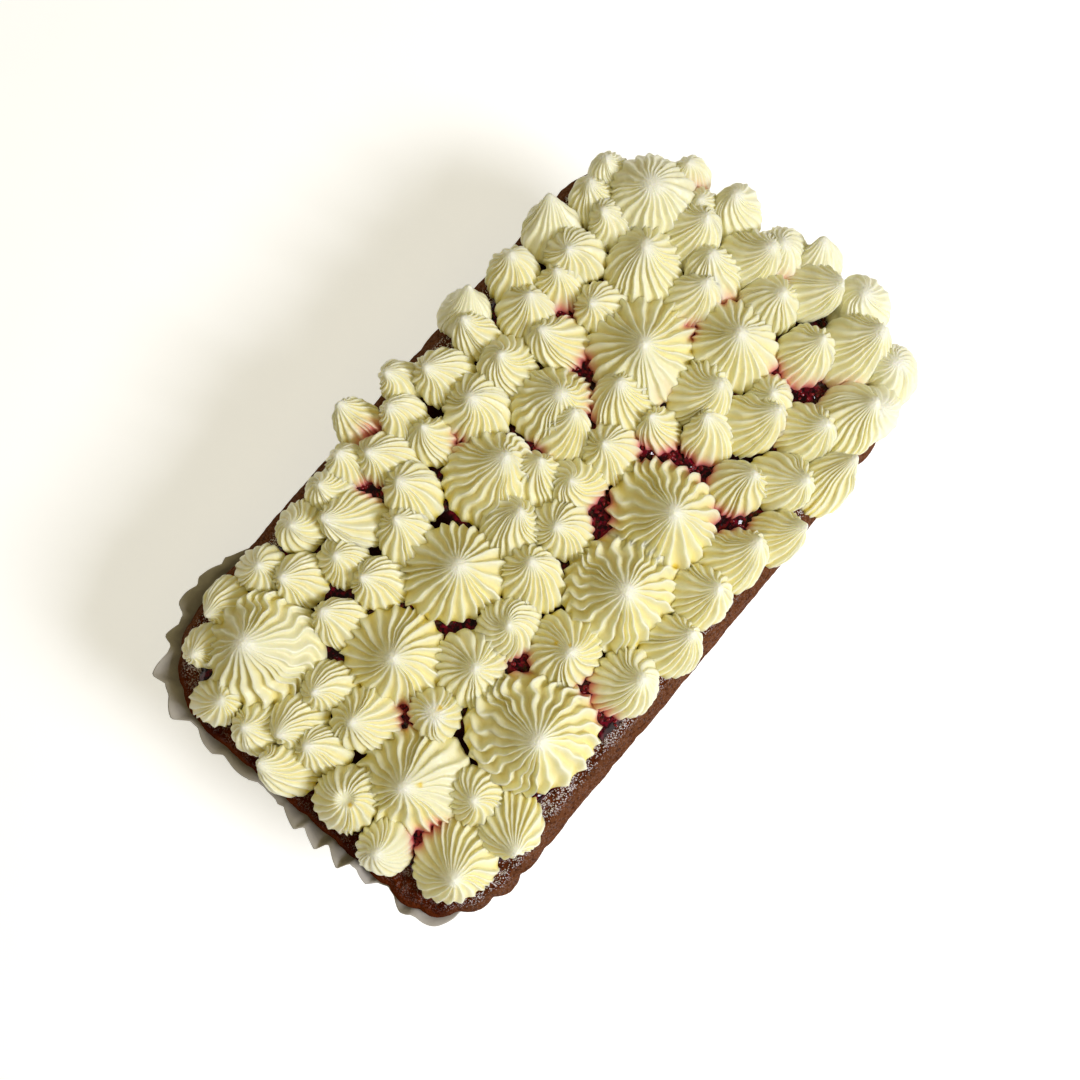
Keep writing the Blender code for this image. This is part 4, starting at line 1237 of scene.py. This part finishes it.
def pip_tree():
    graph = ShapeGraph("scattered_pips", {"Per Square Metre": PIPS_PER_M2, "Length": PIP, "Seed": 5})
    seed = graph.size("Seed")
    density = graph.attribute("shown") ** 2.0 * graph.size("Per Square Metre")
    sockets = {"Mesh": graph.geometry, "Density": density, "Seed": seed}
    spots = graph.node("GeometryNodeDistributePointsOnFaces", {"distribute_method": "RANDOM"}, sockets)
    grain = graph.node("GeometryNodeMeshIcoSphere", sockets={"Radius": 1.0, "Subdivisions": 2})
    sockets = {0: (-MOST_TIP, -MOST_TIP, 0.0), 1: (MOST_TIP, MOST_TIP, TWO_PI), "Seed": seed}
    turned = graph.node("FunctionNodeRandomValue", {"data_type": "FLOAT_VECTOR"}, sockets)
    size = graph.scaled(PIP_SHAPE, graph.size("Length"))
    graph.scatter(spots.outputs["Points"], grain.outputs["Mesh"], Rotation=turned.outputs[0], Scale=size)
    return graph.end(pip_finish)


pips = add_object("raspberry_pips", jam.data.copy())
grown(pips, pip_tree(), seed=5)
hand_over(jam, "raspberry_jam", "raspberry_jam")
hand_over(pips, "raspberry_jam")

# %% [markdown]
# ## The paper case
#
# Greaseproof paper, pressed into pleats. It hugs the long sides, and opens outwards at the near
# end and at the left corner, in folds. It is thin, so it has two skins, a third of a millimetre
# apart.

# %% Paper case
PAPER = 0.35 * MM
PAPER_RINGS = 22
PAPER_STEPS = 16                            # points round the outline for each pleat
PAPER_RIM = 46.5 * MM
PAPER_RISE = 8.0 * MM                       # how much higher the rim stands where it flares fully
PAPER_LEAVES = 43.0 * MM                    # the flared paper parts from the loaf here,
PAPER_BENDS = 1.5                           # and leans out more and more towards its rim
PAPER_FOLD = 1.4 * MM
RIM_WAVES = ((0.8 * MM, 1.7), (0.6 * MM, 0.61))
FLAT_FOOT = 6.0 * MM                        # below this its crumples fade out, so it stands flat
CRUMPLES = ((90.0, 0.8 * MM, 2.0),)
PAPER_RELIEF = 0.0002
# the paper's own grey, darkened further as painted shade
PAPER_GREY_AND_SHADE = ((0.380, 0.348, 0.302), (0.480, 0.445, 0.392))
FLARE_FULL = 6.0 * MM
FLARES = (                                  # x, y, reach, and how far the rim leans out
    (-0.115, -0.012, 0.030, 0.0066), (-0.115, 0.030, 0.026, 0.0045), (-0.108, 0.058, 0.020, 0.0083),
    (-0.084, 0.065, 0.018, 0.0078), (-0.115, -0.050, 0.011, 0.0072), (0.104, -0.060, 0.009, 0.0015),
)

paper = Finish("greaseproof_paper", {"Roughness": 0.60})
fibre, _ = paper.noise(paper.place, 300.0, 4.0)
# partly the paper's own grey, partly painted shade
paper.fill({"Base Color": paper.blend(fibre, *PAPER_GREY_AND_SHADE)})
paper.relief(fibre, PAPER_RELIEF)


def flare(place):
    most = 0.0
    for x, y, reach, out in FLARES:
        away = (place - Vector((x, y))).length / reach
        most = max(most, out * math.exp(-away * away))
    return most


def make_case():
    around = walk(PAPER_STEPS * PLEATS)
    shell = Shell()
    shares = list(np.linspace(0.0, 1.0, PAPER_RINGS))
    for share, outer in [(share, 1) for share in shares] + [(share, 0) for share in reversed(shares)]:
        ring = []
        for place, out, number in around:
            lean = flare(place)
            flared = min(1.0, lean / FLARE_FULL)
            wobble = sum(size * math.sin(turn * number) for size, turn in RIM_WAVES)
            rim = PAPER_RIM + PAPER_RISE * flared + wobble
            foot = 0.0 if outer else PAPER
            height = foot + (rim - foot) * share
            opened = max(0.0, (height - PAPER_LEAVES) / (rim - PAPER_LEAVES))
            pleat = pleat_depth(place, number) * lobe(number, 1.0) * (1.0 - 0.6 * opened)
            folded = PAPER_FOLD * fold(number) * (1.0 + 0.3 * math.sin(0.53 * number)) * flared
            spread = lean * (0.95 + 0.14 * math.sin(0.37 * number)) + folded
            offset = GAP + PAPER * outer + pleat - taper(height) + spread * opened ** PAPER_BENDS
            ring.append((*(place + out * offset), height))
        shell.ring(ring)
    for first, height, reverse in ((0, 0.0, True), (shell.last[0], PAPER, False)):
        shell.last = list(range(first, first + len(around)))
        shell.close((0.0, 0.0, height), reverse)
    case = mesh_object("pleated_case", shell.points, shell.faces)
    keep_numbers(case.data, "free", np.clip(all_points(case.data)[:, 2] / FLAT_FOOT, 0.0, 1.0))
    return grown(case, roughening("crumpled_paper", paper, CRUMPLES, "free"))


hand_over(make_case(), "greaseproof_paper", "paper_case")
